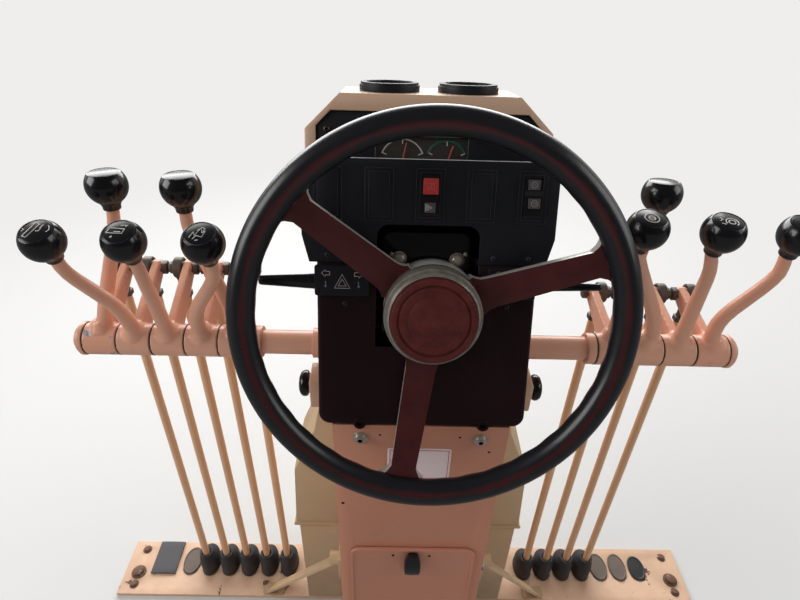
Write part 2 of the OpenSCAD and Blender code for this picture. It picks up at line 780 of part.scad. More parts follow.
// Shift of the handle's middle line at height z, smooth through its knees
function knees(i) = [
    [0, 0], [LEVERS[i][3], LEVERS[i][4]],
    [LEVERS[i][5], LEVERS[i][6]], [knob_out(i), knob_up(i) - grip_l]
];
function slope(a, b) = (b[0] - a[0]) / (b[1] - a[1]);
function ease(a, b, m0, m1, z) = let (d = b[1] - a[1], t = (z - a[1]) / d)
    a[0] * (1 + 2 * t) * (1 - t) * (1 - t) + b[0] * t * t * (3 - 2 * t)
    + m0 * d * t * (1 - t) * (1 - t) - m1 * d * t * t * (1 - t);
function handle_out(i, z) = let (
        p = knees(i),
        m1 = (slope(p[0], p[1]) + slope(p[1], p[2])) / 2,
        m2 = (slope(p[1], p[2]) + slope(p[2], p[3])) / 2
    )
    z < p[1][1] ? ease(p[0], p[1], 0, m1, z)
    : z < p[2][1] ? ease(p[1], p[2], m1, m2, z)
    : ease(p[2], p[3], m2, 0, z);

// Length of the straight tip under a knob's middle
grip_l = 30;
arm_sides = 16;
arm_rings = 12;
arm_root = 18;

// One ring of the handle, square to its middle line
function arm_ring(i, k) = let (
        top = knob_up(i) - grip_l,
        z = arm_root + (top - arm_root) * k / arm_rings,
        lean_x = (handle_out(i, z + 0.5) - handle_out(i, z - 0.5)) * (k == arm_rings ? 0 : 1),
        r = arm_r + (arm_tip_r + 0.8 - arm_r) * k / arm_rings,
        n = norm([1, lean_x])
    )
    [for (a = [0 : arm_sides - 1]) let (c = cos(360 * a / arm_sides), s = sin(360 * a / arm_sides))
        [handle_out(i, z) + r * c / n, r * s, z - r * c * lean_x / n]];

module handle_bar(i) {
    n = arm_sides;
    points = [for (k = [0 : arm_rings]) for (p = arm_ring(i, k)) p];
    sides = [for (k = [0 : arm_rings - 1]) for (a = [0 : n - 1]) let (b = (a + 1) % n)
        [k * n + a, (k + 1) * n + a, (k + 1) * n + b, k * n + b]];
    foot = [for (a = [0 : n - 1]) a];
    head = [for (a = [n - 1 : -1 : 0]) arm_rings * n + a];
    polyhedron(points, concat([foot, head], sides), convexity = 4);
}

// Flat arm between two rounded ends, in side view
module arm_outline(r1, r2, end) {
    d = norm(end);
    c = (r1 - r2) / d;
    s = sqrt(1 - c * c);
    circle(r1);
    translate(end) circle(r2);
    rotate(atan2(end[1], end[0]))
        polygon([[r1 * c, r1 * s], [d + r2 * c, r2 * s], [d + r2 * c, -r2 * s], [r1 * c, -r1 * s]]);
}

module lever(i) color(tan_paint) at_lever(i) {
    difference() {
        union() {
            x_pin(-(hub_pitch - hub_gap) / 2, (hub_pitch - hub_gap) / 2, hub_r);
            side_form(boss_w) arm_outline(hub_r - 2, 11, [shaft_back, rise(i)]);
            rotate([-lean(i), 0, 0]) {
                translate([0, 0, arm_root - 1]) cylinder(h = 13, r1 = arm_r + 7, r2 = arm_r);
                handle_bar(i);
                translate([knob_out(i), 0, knob_up(i) - grip_l - 2])
                    cylinder(h = grip_l - 8, r = arm_tip_r);
            }
        }
        x_pin(-hub_pitch, hub_pitch, shaft_r + run_gap);
    }
    translate([0, shaft_back, rise(i)]) {
        x_pin(-boss_w / 2 - 8, rod_offset + rod_end_w / 2 + 3, stud_r);
        x_pin(-boss_w / 2 - 6, -boss_w / 2, 8);
        x_pin(rod_offset + rod_end_w / 2 + move_gap, rod_offset + rod_end_w / 2 + 3, 7.5);
    }
}

module knob(i) color("#0c0d10") at_lever(i) rotate([-lean(i), 0, 0])
    translate([knob_out(i), 0, knob_up(i)]) difference() {
        union() {
            intersection() {
                sphere(knob_r);
                translate([0, 0, -knob_r]) cylinder(h = knob_r + knob_flat, r = knob_r + 1);
            }
            translate([0, 0, -grip_l + 2])
                cylinder(h = grip_l - 8, r1 = arm_tip_r + 3, r2 = arm_tip_r + 6);
        }
        translate([0, 0, -grip_l - 2]) cylinder(h = grip_l - 5, r = arm_tip_r + fit_gap);
    }

// A control rod with the eye that hangs on its lever's stud

module rod(i) color(tan_paint) at_lever(i) translate([rod_offset, shaft_back, rise(i)]) {
    stud_z = shaft_z + rise(i);
    difference() {
        union() {
            x_pin(-rod_end_w / 2, rod_end_w / 2, rod_end_r);
            translate([0, 0, -rod_nut]) cylinder(h = rod_nut - 10, r = rod_r);
        }
        x_pin(-rod_end_w, rod_end_w, stud_r + run_gap);
    }
    translate([0, 0, -rod_nut - nut_t]) cylinder(h = nut_t, r = rod_r + 3, $fn = 6);
    translate([0, 0, rod_foot_z - stud_z]) cylinder(h = stud_z - rod_foot_z - rod_nut, r = rod_r);
}

floor_plate();
rod_boots();
hole_plugs();
floor_pad();
duct_base();
duct_cover();
pedestal();
side_braces();
console_shell();
cowl();
shroud();
switch_panel();
gauge_bezel();
gauge_dials();
gauge_glass();
air_vents();
switch_rockers();
column_bracket();
steering_column();
signal_boxes();
stalks();
lever_shaft();
shaft_collars();
clamp_knobs();
fasteners();
info_plate();
wheel_rim();
wheel_spokes();
horn_pad();
access_door();
door_latch();
for (i = [0 : len(LEVERS) - 1]) {
    lever(i);
    knob(i);
    rod(i);
}
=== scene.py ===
# %% [markdown]
# A motor grader's control console
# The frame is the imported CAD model: its solids, bodies and joints. This lesson
# dresses it: rounds what is pressed, cast or moulded, adds the small parts, and
# gives each surface a finish made of nodes. Everything is in metres.

# %% Open the frame
import json
import math

import bpy
from mathutils import Matrix, Vector


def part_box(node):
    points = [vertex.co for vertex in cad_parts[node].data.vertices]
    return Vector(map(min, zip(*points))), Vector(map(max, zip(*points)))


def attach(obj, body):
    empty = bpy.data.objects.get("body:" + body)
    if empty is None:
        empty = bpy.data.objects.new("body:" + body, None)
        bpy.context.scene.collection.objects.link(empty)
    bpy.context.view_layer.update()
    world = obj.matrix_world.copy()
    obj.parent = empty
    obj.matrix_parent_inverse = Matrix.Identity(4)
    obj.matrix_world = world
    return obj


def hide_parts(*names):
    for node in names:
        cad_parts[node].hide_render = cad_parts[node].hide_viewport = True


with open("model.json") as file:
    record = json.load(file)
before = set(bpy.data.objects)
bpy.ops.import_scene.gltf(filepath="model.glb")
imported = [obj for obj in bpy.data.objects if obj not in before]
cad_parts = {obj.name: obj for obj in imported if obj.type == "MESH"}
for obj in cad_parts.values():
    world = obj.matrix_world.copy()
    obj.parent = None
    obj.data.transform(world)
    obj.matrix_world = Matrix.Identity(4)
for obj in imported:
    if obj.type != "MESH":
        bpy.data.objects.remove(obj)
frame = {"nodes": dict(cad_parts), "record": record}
bpy.ops.object.select_all(action="DESELECT")
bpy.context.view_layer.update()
nodes = frame["nodes"]

# %% [markdown]
# The console's main sizes
# These few values place nearly everything. The wheel's plane leans back, so a
# frame of its own is set up at the wheel's middle: x to the right, s up the
# plane and h out of it. The lever shaft runs from side to side.

# %% Name the driving sizes
MM = 0.001
CONSOLE_X = -0.006
LEAN = math.radians(20)
WHEEL_MIDDLE = Vector((0.0, -0.218, 0.873))
RIM_OUTER, RIM_TUBE = 0.215, 0.015
RING_RADIUS = RIM_OUTER - RIM_TUBE
SHAFT_Y, SHAFT_Z = -0.102, 0.747
BANK_START, HUB_PITCH, ROD_OFFSET = 0.226, 0.0436, 0.013
SHROUD_HALF = 0.123
PANEL_H = -0.055
PEDESTAL_Y = -0.216
ACROSS = Matrix.Rotation(math.pi / 2, 4, "Y")
TO_SEAT = Matrix.Rotation(math.pi / 2, 4, "X")
wheel_frame = Matrix.Translation(WHEEL_MIDDLE) @ Matrix.Rotation(math.pi / 2 - LEAN, 4, "X")
to_wheel = wheel_frame.inverted()


def spot(x, s, h):
    return wheel_frame @ Matrix.Translation((x, s, h))


def on_console(x, s, h):
    return spot(CONSOLE_X + x, s, h)


def sized(x, y=None, z=None):
    return Matrix.Diagonal((x, x if y is None else y, x if z is None else z, 1))


print("the wheel leans", round(math.degrees(LEAN)), "degrees")

# %% [markdown]
# The view
# The view is from above the seat, over the wheel, down at the floor. A wide lens
# is needed because the eye is close. Its aim is three turns: pitch down, yaw
# to the right and roll.

# %% Set the camera
EYE = Vector((-0.044, -0.680, 1.224))
PITCH, YAW, ROLL = math.radians(35.0), math.radians(0.94), math.radians(1.81)
IMAGE_WIDTH, FOCAL_PIXELS, SENSOR = 800, 560, 36.0
lens = bpy.data.cameras.new("seat_view")
lens.sensor_width = SENSOR
lens.lens = SENSOR * FOCAL_PIXELS / IMAGE_WIDTH
camera = bpy.data.objects.new("seat_view", lens)
bpy.context.scene.collection.objects.link(camera)
turned_down = Matrix.Rotation(math.pi / 2 - PITCH, 4, "X")
aim = Matrix.Rotation(-YAW, 4, "Z") @ turned_down @ Matrix.Rotation(ROLL, 4, "Z")
camera.matrix_world = Matrix.Translation(EYE) @ aim
bpy.context.scene.camera = camera
bpy.context.scene.view_settings.view_transform = "Standard"
print("lens", round(lens.lens, 1), "mm")

# %% [markdown]
# Helpers for node trees
# The sky, the floor and every finish are trees of nodes. Three helpers keep them
# short: one adds a node with its values, one does a sum, and one starts a group
# with named inputs and outputs.

# %% Add nodes and groups
def add_node(tree, kind, place, **values):
    made = tree.nodes.new(kind)
    made.location = place
    for key, value in values.items():
        if hasattr(made, key):
            setattr(made, key, value)
        else:
            made.inputs[key.replace("_", " ")].default_value = value
    return made


def new_group(name, inputs, outputs):
    group = bpy.data.node_groups.new(name, "ShaderNodeTree")
    for label, kind, value in inputs:
        socket = group.interface.new_socket(label, in_out="INPUT", socket_type=kind)
        if value is not None:
            socket.default_value = value
    for label, kind in outputs:
        group.interface.new_socket(label, in_out="OUTPUT", socket_type=kind)
    enter = group.nodes.new("NodeGroupInput")
    leave = group.nodes.new("NodeGroupOutput")
    enter.location, leave.location = (-800, 0), (600, 0)
    return group, enter, leave


print("nodes and groups ready")


# %% Do sums and mix colours
def math_node(tree, operation, place, first, second=None, clamp=False):
    made = add_node(tree, "ShaderNodeMath", place, operation=operation)
    made.use_clamp = clamp
    for socket, value in zip(made.inputs, (first, second)):
        if value is None:
            continue
        if isinstance(value, (int, float)):
            socket.default_value = value
        else:
            tree.links.new(value, socket)
    return made.outputs[0]


FLOAT, COLOUR = "NodeSocketFloat", "NodeSocketColor"


def map_range(tree, value, from_low, from_high, to_low, to_high, interpolation="LINEAR"):
    made = add_node(tree, "ShaderNodeMapRange", (-400, 0), interpolation_type=interpolation)
    for socket, number in zip(made.inputs[1:5], (from_low, from_high, to_low, to_high)):
        socket.default_value = number
    tree.links.new(value, made.inputs["Value"])
    return made.outputs["Result"]


def colour_mix(tree, place, mask, first, second):
    mix = add_node(tree, "ShaderNodeMix", place, data_type="RGBA")
    tree.links.new(mask, mix.inputs[0])
    for socket, value in ((mix.inputs[6], first), (mix.inputs[7], second)):
        if isinstance(value, tuple):
            socket.default_value = value
        else:
            tree.links.new(value, socket)
    return mix.outputs[2]


print("sums and mixes ready")

# %% [markdown]
# A plain studio
# The light comes from ahead and above, a little more from the left. One wide
# lamp ahead gives the bright upper edges, and two weaker ones fill the sides
# that look at the seat. The sky is pale to the eye. In reflections it is pale
# ahead and dim overhead and behind, so that blacks stay black.

# %% Light the studio
LAMPS_AIM = Vector((0.0, -0.1, 0.7))
LAMPS = (
    # name, place, width and height, watts
    ("lamp_ahead", (-0.4, 2.7, 2.1), (5.0, 1.9), 168),
    ("lamp_left", (-2.4, -0.7, 1.9), (1.6, 1.4), 34),
    ("lamp_right", (2.4, -0.5, 2.0), (1.6, 1.4), 18),
)
for name, place, size, watts in LAMPS:
    light = bpy.data.lights.new(name, "AREA")
    light.shape = "RECTANGLE"
    light.size, light.size_y = size
    light.energy = watts
    lamp = bpy.data.objects.new(name, light)
    bpy.context.scene.collection.objects.link(lamp)
    look = (LAMPS_AIM - Vector(place)).to_track_quat("-Z", "Y")
    lamp.matrix_world = Matrix.Translation(place) @ look.to_matrix().to_4x4()
    lamp.visible_camera = False
print("lamps:", [row[0] for row in LAMPS])


# %% Paint the sky
def seen_or_mirrored(tree):
    path = add_node(tree, "ShaderNodeLightPath", (-1000, 300)).outputs
    first = math_node(tree, "ADD", (-800, 300), path["Is Camera Ray"], path["Is Transmission Ray"])
    return math_node(tree, "ADD", (-650, 300), first, path["Is Glossy Ray"], True)


SKY_FILL, SKY_SEEN, SKY_BEHIND = 0.37, 0.86, 0.05
world = bpy.data.worlds.new("studio_sky")
bpy.context.scene.world = world
world.use_nodes = True
sky = world.node_tree
sky_light = sky.nodes["Background"]
sky_light.inputs["Color"].default_value = (1.0, 0.99, 0.97, 1)
toward = add_node(sky, "ShaderNodeTexCoord", (-1400, 0))
split = add_node(sky, "ShaderNodeSeparateXYZ", (-1200, 0))
sky.links.new(toward.outputs["Generated"], split.inputs[0])
ahead = map_range(sky, split.outputs["Y"], -0.1, 0.45, 0.0, 1.0)
not_overhead = map_range(sky, split.outputs["Z"], 0.35, 0.7, 1.0, 0.0)
open_sky = math_node(sky, "MULTIPLY", (-600, 0), ahead, not_overhead)
mirrored_sky = map_range(sky, open_sky, 0.0, 1.0, SKY_BEHIND, SKY_SEEN)
path = add_node(sky, "ShaderNodeLightPath", (-600, -300))
glossy_choice = add_node(sky, "ShaderNodeMix", (-300, -100))
sky.links.new(path.outputs["Is Glossy Ray"], glossy_choice.inputs[0])
glossy_choice.inputs[2].default_value = SKY_SEEN
sky.links.new(mirrored_sky, glossy_choice.inputs[3])
strength = add_node(sky, "ShaderNodeMix", (-100, 0))
strength.inputs[2].default_value = SKY_FILL
sky.links.new(seen_or_mirrored(sky), strength.inputs[0])
sky.links.new(glossy_choice.outputs[0], strength.inputs[3])
sky.links.new(strength.outputs[0], sky_light.inputs["Strength"])
print("sky", SKY_SEEN, "to the eye and", SKY_FILL, "as a light")

# %% [markdown]
# The studio floor
# Near the console the floor is matt and takes its shadow. Further off it turns
# into the pale backdrop that the eye sees, so that no horizon shows. In
# reflections the floor is dark, so that black pieces stay black below too.

# %% Lay the floor
FLOOR_SIZE, FLOOR_Z = 80, -0.0005
FLOOR_MIRRORED = 0.19
SHADOW_REACH, BACKDROP_REACH = 0.7, 2.6
bpy.ops.mesh.primitive_plane_add(size=FLOOR_SIZE, location=(0, 0, FLOOR_Z))
floor = bpy.context.object
floor.name = "studio_floor"
floor_finish = bpy.data.materials.new("studio_floor")
floor_finish.use_nodes = True
tree = floor_finish.node_tree
matt = tree.nodes["Principled BSDF"]
matt.inputs["Base Color"].default_value = (0.62, 0.62, 0.615, 1)
matt.inputs["Roughness"].default_value = 0.9
matt.inputs["Specular IOR Level"].default_value = 0.2
backdrop = add_node(tree, "ShaderNodeEmission", (0, -400))
backdrop.inputs["Color"].default_value = (SKY_SEEN, SKY_SEEN * 0.99, SKY_SEEN * 0.975, 1)
dark_floor = add_node(tree, "ShaderNodeEmission", (0, -550))
dark_floor.inputs["Color"].default_value = (FLOOR_MIRRORED, FLOOR_MIRRORED, FLOOR_MIRRORED, 1)
where = add_node(tree, "ShaderNodeTexCoord", (-800, -200))
reach = add_node(tree, "ShaderNodeVectorMath", (-600, -200), operation="LENGTH")
tree.links.new(where.outputs["Object"], reach.inputs[0])
far_off = map_range(tree, reach.outputs["Value"], SHADOW_REACH, BACKDROP_REACH, 0.0, 1.0, "SMOOTHSTEP")
shown = math_node(tree, "MULTIPLY", (-200, 0), far_off, seen_or_mirrored(tree))
glossy = add_node(tree, "ShaderNodeLightPath", (0, -700)).outputs["Is Glossy Ray"]
surface = matt.outputs[0]
for share, other in ((shown, backdrop), (glossy, dark_floor)):
    blend = add_node(tree, "ShaderNodeMixShader", (300, 0))
    for socket, source in zip(blend.inputs, (share, surface, other.outputs[0])):
        tree.links.new(source, socket)
    surface = blend.outputs[0]
tree.links.new(surface, tree.nodes["Material Output"].inputs["Surface"])
floor.data.materials.append(floor_finish)
bpy.ops.object.select_all(action="DESELECT")
print("floor laid,", FLOOR_SIZE, "m wide")

# %% [markdown]
# Effects that several finishes share
# Old paint is never one colour: it is mottled, it chips where boots and hands knock it, and dust settles
# towards the floor. The same film towards the floor also carries painted shade. Each effect is one node group
# with named inputs, so that every finish can set its own amount.

# %% Mottle: soft, wide changes of tone
mottle, enter, leave = new_group(
    "mottle",
    [
        ("Colour", COLOUR, None), ("Second Colour", COLOUR, None),
        ("Scale", FLOAT, 14.0), ("Amount", FLOAT, 0.5),
    ],
    [("Colour", COLOUR), ("Value", FLOAT)],
)
where = add_node(mottle, "ShaderNodeTexCoord", (-800, -300))
noise = add_node(mottle, "ShaderNodeTexNoise", (-500, -200), Detail=5.0, Roughness=0.6)
mottle.links.new(where.outputs["Object"], noise.inputs["Vector"])
mottle.links.new(enter.outputs["Scale"], noise.inputs["Scale"])
share = math_node(mottle, "MULTIPLY", (-250, -200), noise.outputs["Fac"], enter.outputs["Amount"], True)
mix = add_node(mottle, "ShaderNodeMix", (50, 0), data_type="RGBA")
mottle.links.new(share, mix.inputs[0])
mottle.links.new(enter.outputs["Colour"], mix.inputs[6])
mottle.links.new(enter.outputs["Second Colour"], mix.inputs[7])
mottle.links.new(mix.outputs[2], leave.inputs["Colour"])
mottle.links.new(noise.outputs["Fac"], leave.inputs["Value"])
print("group", mottle.name)

# %% Chips: small bare spots with sharp edges, more of them low down
CHIP_SHARPNESS, LOW_SHARPNESS = 40.0, 12.0
chips, enter, leave = new_group(
    "chips",
    [
        ("Scale", FLOAT, 60.0), ("Threshold", FLOAT, 0.7),
        ("Low Height", FLOAT, 0.0), ("Low Extra", FLOAT, 0.0),
    ],
    [("Mask", FLOAT)],
)
where = add_node(chips, "ShaderNodeTexCoord", (-1000, -300))
noise = add_node(chips, "ShaderNodeTexNoise", (-700, -200), Detail=6.0, Roughness=0.65)
split = add_node(chips, "ShaderNodeSeparateXYZ", (-700, -450))
chips.links.new(where.outputs["Object"], noise.inputs["Vector"])
chips.links.new(where.outputs["Object"], split.inputs[0])
chips.links.new(enter.outputs["Scale"], noise.inputs["Scale"])
below = math_node(chips, "SUBTRACT", (-500, -450), enter.outputs["Low Height"], split.outputs["Z"])
below = math_node(chips, "MULTIPLY", (-350, -450), below, LOW_SHARPNESS, True)
extra = math_node(chips, "MULTIPLY", (-200, -450), below, enter.outputs["Low Extra"])
level = math_node(chips, "SUBTRACT", (-50, -350), enter.outputs["Threshold"], extra)
over = math_node(chips, "SUBTRACT", (100, -200), noise.outputs["Fac"], level)
mask = math_node(chips, "MULTIPLY", (250, -200), over, CHIP_SHARPNESS, True)
chips.links.new(mask, leave.inputs["Mask"])
print("group", chips.name)

# %% Dust and painted shade: a film that thickens towards the floor
dust_and_shade_film, enter, leave = new_group(
    "dust_and_shade_film",
    [("Top Height", FLOAT, 0.4), ("Depth", FLOAT, 0.4), ("Amount", FLOAT, 0.5)],
    [("Mask", FLOAT)],
)
where = add_node(dust_and_shade_film, "ShaderNodeTexCoord", (-1000, -300))
noise = add_node(dust_and_shade_film, "ShaderNodeTexNoise", (-700, -200), Scale=22.0, Detail=8.0, Roughness=0.7)
split = add_node(dust_and_shade_film, "ShaderNodeSeparateXYZ", (-700, -450))
dust_and_shade_film.links.new(where.outputs["Object"], noise.inputs["Vector"])
dust_and_shade_film.links.new(where.outputs["Object"], split.inputs[0])
below = math_node(dust_and_shade_film, "SUBTRACT", (-500, -450), enter.outputs["Top Height"], split.outputs["Z"])
below = math_node(dust_and_shade_film, "DIVIDE", (-350, -450), below, enter.outputs["Depth"], True)
patchy = math_node(dust_and_shade_film, "MULTIPLY", (-150, -300), below, noise.outputs["Fac"])
mask = math_node(dust_and_shade_film, "MULTIPLY", (50, -300), patchy, enter.outputs["Amount"], True)
dust_and_shade_film.links.new(mask, leave.inputs["Mask"])
print("group", dust_and_shade_film.name)

# %% Grain: the fine texture of moulded plastic, paint and rubber
grain, enter, leave = new_group(
    "grain", [("Scale", FLOAT, 900.0), ("Detail", FLOAT, 3.0)], [("Height", FLOAT)]
)
where = add_node(grain, "ShaderNodeTexCoord", (-800, -200))
noise = add_node(grain, "ShaderNodeTexNoise", (-400, 0))
grain.links.new(where.outputs["Object"], noise.inputs["Vector"])
grain.links.new(enter.outputs["Scale"], noise.inputs["Scale"])
grain.links.new(enter.outputs["Detail"], noise.inputs["Detail"])
grain.links.new(noise.outputs["Fac"], leave.inputs["Height"])
print("group", grain.name)

# %% [markdown]
# The finishes
# A finish starts from one helper: a mottled colour, a grain that feeds a bump, and, where the real surface
# has them, chips to the metal. A film towards the floor adds dust, and on the tan paint painted shade too.
# What is the same all over goes straight to the shader's own sockets.

# %% One helper for every finish
def group_node(tree, group, place, **values):
    made = add_node(tree, "ShaderNodeGroup", place)
    made.node_tree = group
    for key, value in values.items():
        made.inputs[key.replace("_", " ")].default_value = value
    return made


ROUGH_SWING = 0.16


def finish(name, colour, second, roughness, scale=14.0, amount=0.5, grain_scale=900.0, bump=0.15,
           bump_reach=0.0004, metallic=0.0, coat=0.0, specular=0.5, chip=None, dirt_and_shade=None):
    material = bpy.data.materials.new(name)
    material.use_nodes = True
    tree = material.node_tree
    shader = tree.nodes["Principled BSDF"]
    shader.inputs["Metallic"].default_value = metallic
    shader.inputs["Coat Weight"].default_value = coat
    shader.inputs["Coat Roughness"].default_value = 0.08
    shader.inputs["Specular IOR Level"].default_value = specular
    tones = {"Colour": (*colour, 1), "Second_Colour": (*second, 1)}
    tone = group_node(tree, mottle, (-700, 200), Scale=scale, Amount=amount, **tones)
    paint = tone.outputs["Colour"]
    rough = math_node(tree, "MULTIPLY_ADD", (-300, -100), tone.outputs["Value"], ROUGH_SWING)
    rough.node.inputs[2].default_value = roughness - ROUGH_SWING / 2
    height = group_node(tree, grain, (-700, -400), Scale=grain_scale).outputs["Height"]
    if dirt_and_shade:
        film = group_node(tree, dust_and_shade_film, (-700, 450), **dirt_and_shade["where"]).outputs["Mask"]
        paint = colour_mix(tree, (-350, 350), film, paint, (*dirt_and_shade["colour"], 1))
    if chip:
        bare = group_node(tree, chips, (-700, 0), **chip["where"]).outputs["Mask"]
        paint = colour_mix(tree, (-150, 250), bare, paint, (*chip["colour"], 1))
        height = math_node(tree, "SUBTRACT", (-450, -400), height, bare)
    bump_node = add_node(tree, "ShaderNodeBump", (-200, -400), Strength=bump, Distance=bump_reach)
    tree.links.new(height, bump_node.inputs["Height"])
    tree.links.new(paint, shader.inputs["Base Color"])
    tree.links.new(rough, shader.inputs["Roughness"])
    tree.links.new(bump_node.outputs["Normal"], shader.inputs["Normal"])
    return material


print("one helper makes every finish")

# %% Mix the paints
TAN, TAN_WARM, SHADE_AND_DUST_BROWN = (0.60, 0.405, 0.280), (0.53, 0.310, 0.200), (0.43, 0.195, 0.122)
RUST, EARTH, SCUFF = (0.115, 0.045, 0.025), (0.30, 0.185, 0.115), (0.24, 0.25, 0.30)
LOW_RUST = {"Scale": 55.0, "Low Height": 0.12, "Low Extra": 0.09}
finishes = {
    "tan_paint": finish(
        "tan_paint", TAN, TAN_WARM, 0.40, 9.0, 0.6, 260.0, 0.10, 0.0006,
        chip={"where": {**LOW_RUST, "Threshold": 0.745}, "colour": RUST},
        # Below the cowl the tan darkens to brown: painted shade, partly dust.
        dirt_and_shade={"where": {"Top Height": 0.80, "Depth": 0.35, "Amount": 1.55}, "colour": SHADE_AND_DUST_BROWN},
    ),
    "floor_paint": finish(
        "floor_paint", (0.86, 0.58, 0.40), (0.66, 0.41, 0.27), 0.55, 20.0, 0.8, 180.0, 0.3, 0.0008,
        chip={"where": {"Scale": 34.0, "Threshold": 0.632}, "colour": RUST},
        dirt_and_shade={"where": {"Top Height": 0.3, "Depth": 0.3, "Amount": 0.55}, "colour": EARTH},
    ),
    "black_plastic": finish(
        "black_plastic", (0.0095, 0.0105, 0.0145), (0.0135, 0.0135, 0.0170),
        0.46, 25.0, 0.7, 1500.0, 0.3, 0.0003, specular=0.28,
    ),
    "gloss_black": finish(
        "gloss_black", (0.006, 0.006, 0.008), (0.010, 0.009, 0.010), 0.20, 30.0, 0.5, 300.0, 0.03, 0.0002,
        coat=0.25, specular=0.4,
    ),
    "boot_rubber": finish(
        "boot_rubber", (0.020, 0.023, 0.030), (0.042, 0.043, 0.048), 0.62, 40.0, 0.8, 700.0, 0.3, 0.0004,
        specular=0.3, dirt_and_shade={"where": {"Top Height": 0.1, "Depth": 0.1, "Amount": 0.2}, "colour": EARTH},
    ),
    "bare_steel": finish(
        "bare_steel", (0.34, 0.33, 0.32), (0.20, 0.17, 0.145), 0.38, 60.0, 0.7, 900.0, 0.1, 0.0003,
        metallic=0.85,
    ),
    "dial_face": finish(
        "dial_face", (0.045, 0.036, 0.028), (0.060, 0.048, 0.036), 0.55, 30.0, 0.5, 900.0, 0.05, 0.0002,
    ),
    "label_plate": finish(
        "label_plate", (0.80, 0.66, 0.66), (0.72, 0.56, 0.55), 0.4, 30.0, 0.5, 400.0, 0.05, 0.0003,
    ),
    "spoke_paint": finish(
        "spoke_paint", (0.042, 0.0085, 0.0095), (0.084, 0.0175, 0.0155), 0.34, 45.0, 1.1, 500.0, 0.35, 0.0005,
        specular=0.3, chip={"where": {"Scale": 95.0, "Threshold": 0.765}, "colour": (0.20, 0.14, 0.12)},
    ),
    "horn_vinyl": finish(
        "horn_vinyl", (0.040, 0.0048, 0.0045), (0.125, 0.0210, 0.0170), 0.44, 60.0, 1.3, 420.0, 0.7, 0.0008,
        specular=0.3,
    ),
}
print("slot finishes:", sorted(finishes))

# %% Mix the paints that differ by piece, with a shaded copy for the pedestal
lever_paint = finish(
    "lever_paint", (0.74, 0.400, 0.280), (0.64, 0.310, 0.204), 0.30, 16.0, 0.8, 300.0, 0.12, 0.0006,
    chip={"where": {"Scale": 42.0, "Threshold": 0.73}, "colour": (0.20, 0.12, 0.09)},
)
# The pedestal and its door take a darker, redder copy of the tan: painted shade on the faces that look at the
# seat.
pedestal_shaded_paint = finish(
    "pedestal_shaded_paint", (0.500, 0.198, 0.120), (0.540, 0.238, 0.150), 0.40, 9.0, 0.9, 260.0, 0.10, 0.0006,
    chip={"where": {**LOW_RUST, "Threshold": 0.745}, "colour": RUST},
    dirt_and_shade={"where": {"Top Height": 0.30, "Depth": 0.30, "Amount": 0.7}, "colour": EARTH},
)
cream_paint = finish(
    "cream_paint", (0.60, 0.425, 0.250), (0.50, 0.335, 0.190), 0.42, 9.0, 0.7, 260.0, 0.12, 0.0006,
    chip={"where": {**LOW_RUST, "Threshold": 0.735}, "colour": RUST},
    dirt_and_shade={"where": {"Top Height": 0.45, "Depth": 0.45, "Amount": 0.8}, "colour": EARTH},
)
rod_paint = finish(
    "rod_paint", (0.74, 0.450, 0.270), (0.62, 0.350, 0.195), 0.38, 12.0, 0.8, 300.0, 0.10, 0.0005,
    chip={"where": {"Scale": 60.0, "Threshold": 0.76}, "colour": RUST},
)
print("paints for levers, pedestal, duct and rods")

# %% Scuff the outer hubs, but not their handles
HUB_REACH = 0.0238
scuffed_hub = finish(
    "scuffed_hub", (0.76, 0.390, 0.270), (0.66, 0.300, 0.195), 0.29, 16.0, 0.8, 300.0, 0.12, 0.0006,
    chip={"where": {"Scale": 30.0, "Threshold": 0.585}, "colour": SCUFF},
)
tree = scuffed_hub.node_tree
where = add_node(tree, "ShaderNodeTexCoord", (-1500, -700))
split = add_node(tree, "ShaderNodeSeparateXYZ", (-1300, -700))
tree.links.new(where.outputs["Object"], split.inputs[0])
squares = []
for axis, shaft, row in (("Y", SHAFT_Y, -650), ("Z", SHAFT_Z, -800)):
    off = math_node(tree, "ADD", (-1100, row), split.outputs[axis], -shaft)
    gap = math_node(tree, "ABSOLUTE", (-1000, row), off)
    squares.append(math_node(tree, "POWER", (-900, row), gap, 2.0))
from_shaft = math_node(tree, "SQRT", (-650, -700), math_node(tree, "ADD", (-800, -700), *squares))
on_hub = math_node(tree, "LESS_THAN", (-500, -700), from_shaft, HUB_REACH)
for node in tree.nodes:
    if node.type == "GROUP" and node.node_tree == chips:
        scuffs = node.outputs["Mask"]
goals = [link.to_socket for link in scuffs.links]
scuffs_on_hub = math_node(tree, "MULTIPLY", (-350, -600), scuffs, on_hub)
for goal in goals:
    tree.links.new(scuffs_on_hub, goal)
print("scuffs reach", HUB_REACH, "m from the shaft")

# %% Mix the metals and rubbers
hub_metal = finish(
    "hub_metal", (0.40, 0.375, 0.33), (0.13, 0.110, 0.090), 0.42, 70.0, 1.3, 500.0, 0.3, 0.0004, metallic=0.3,
)
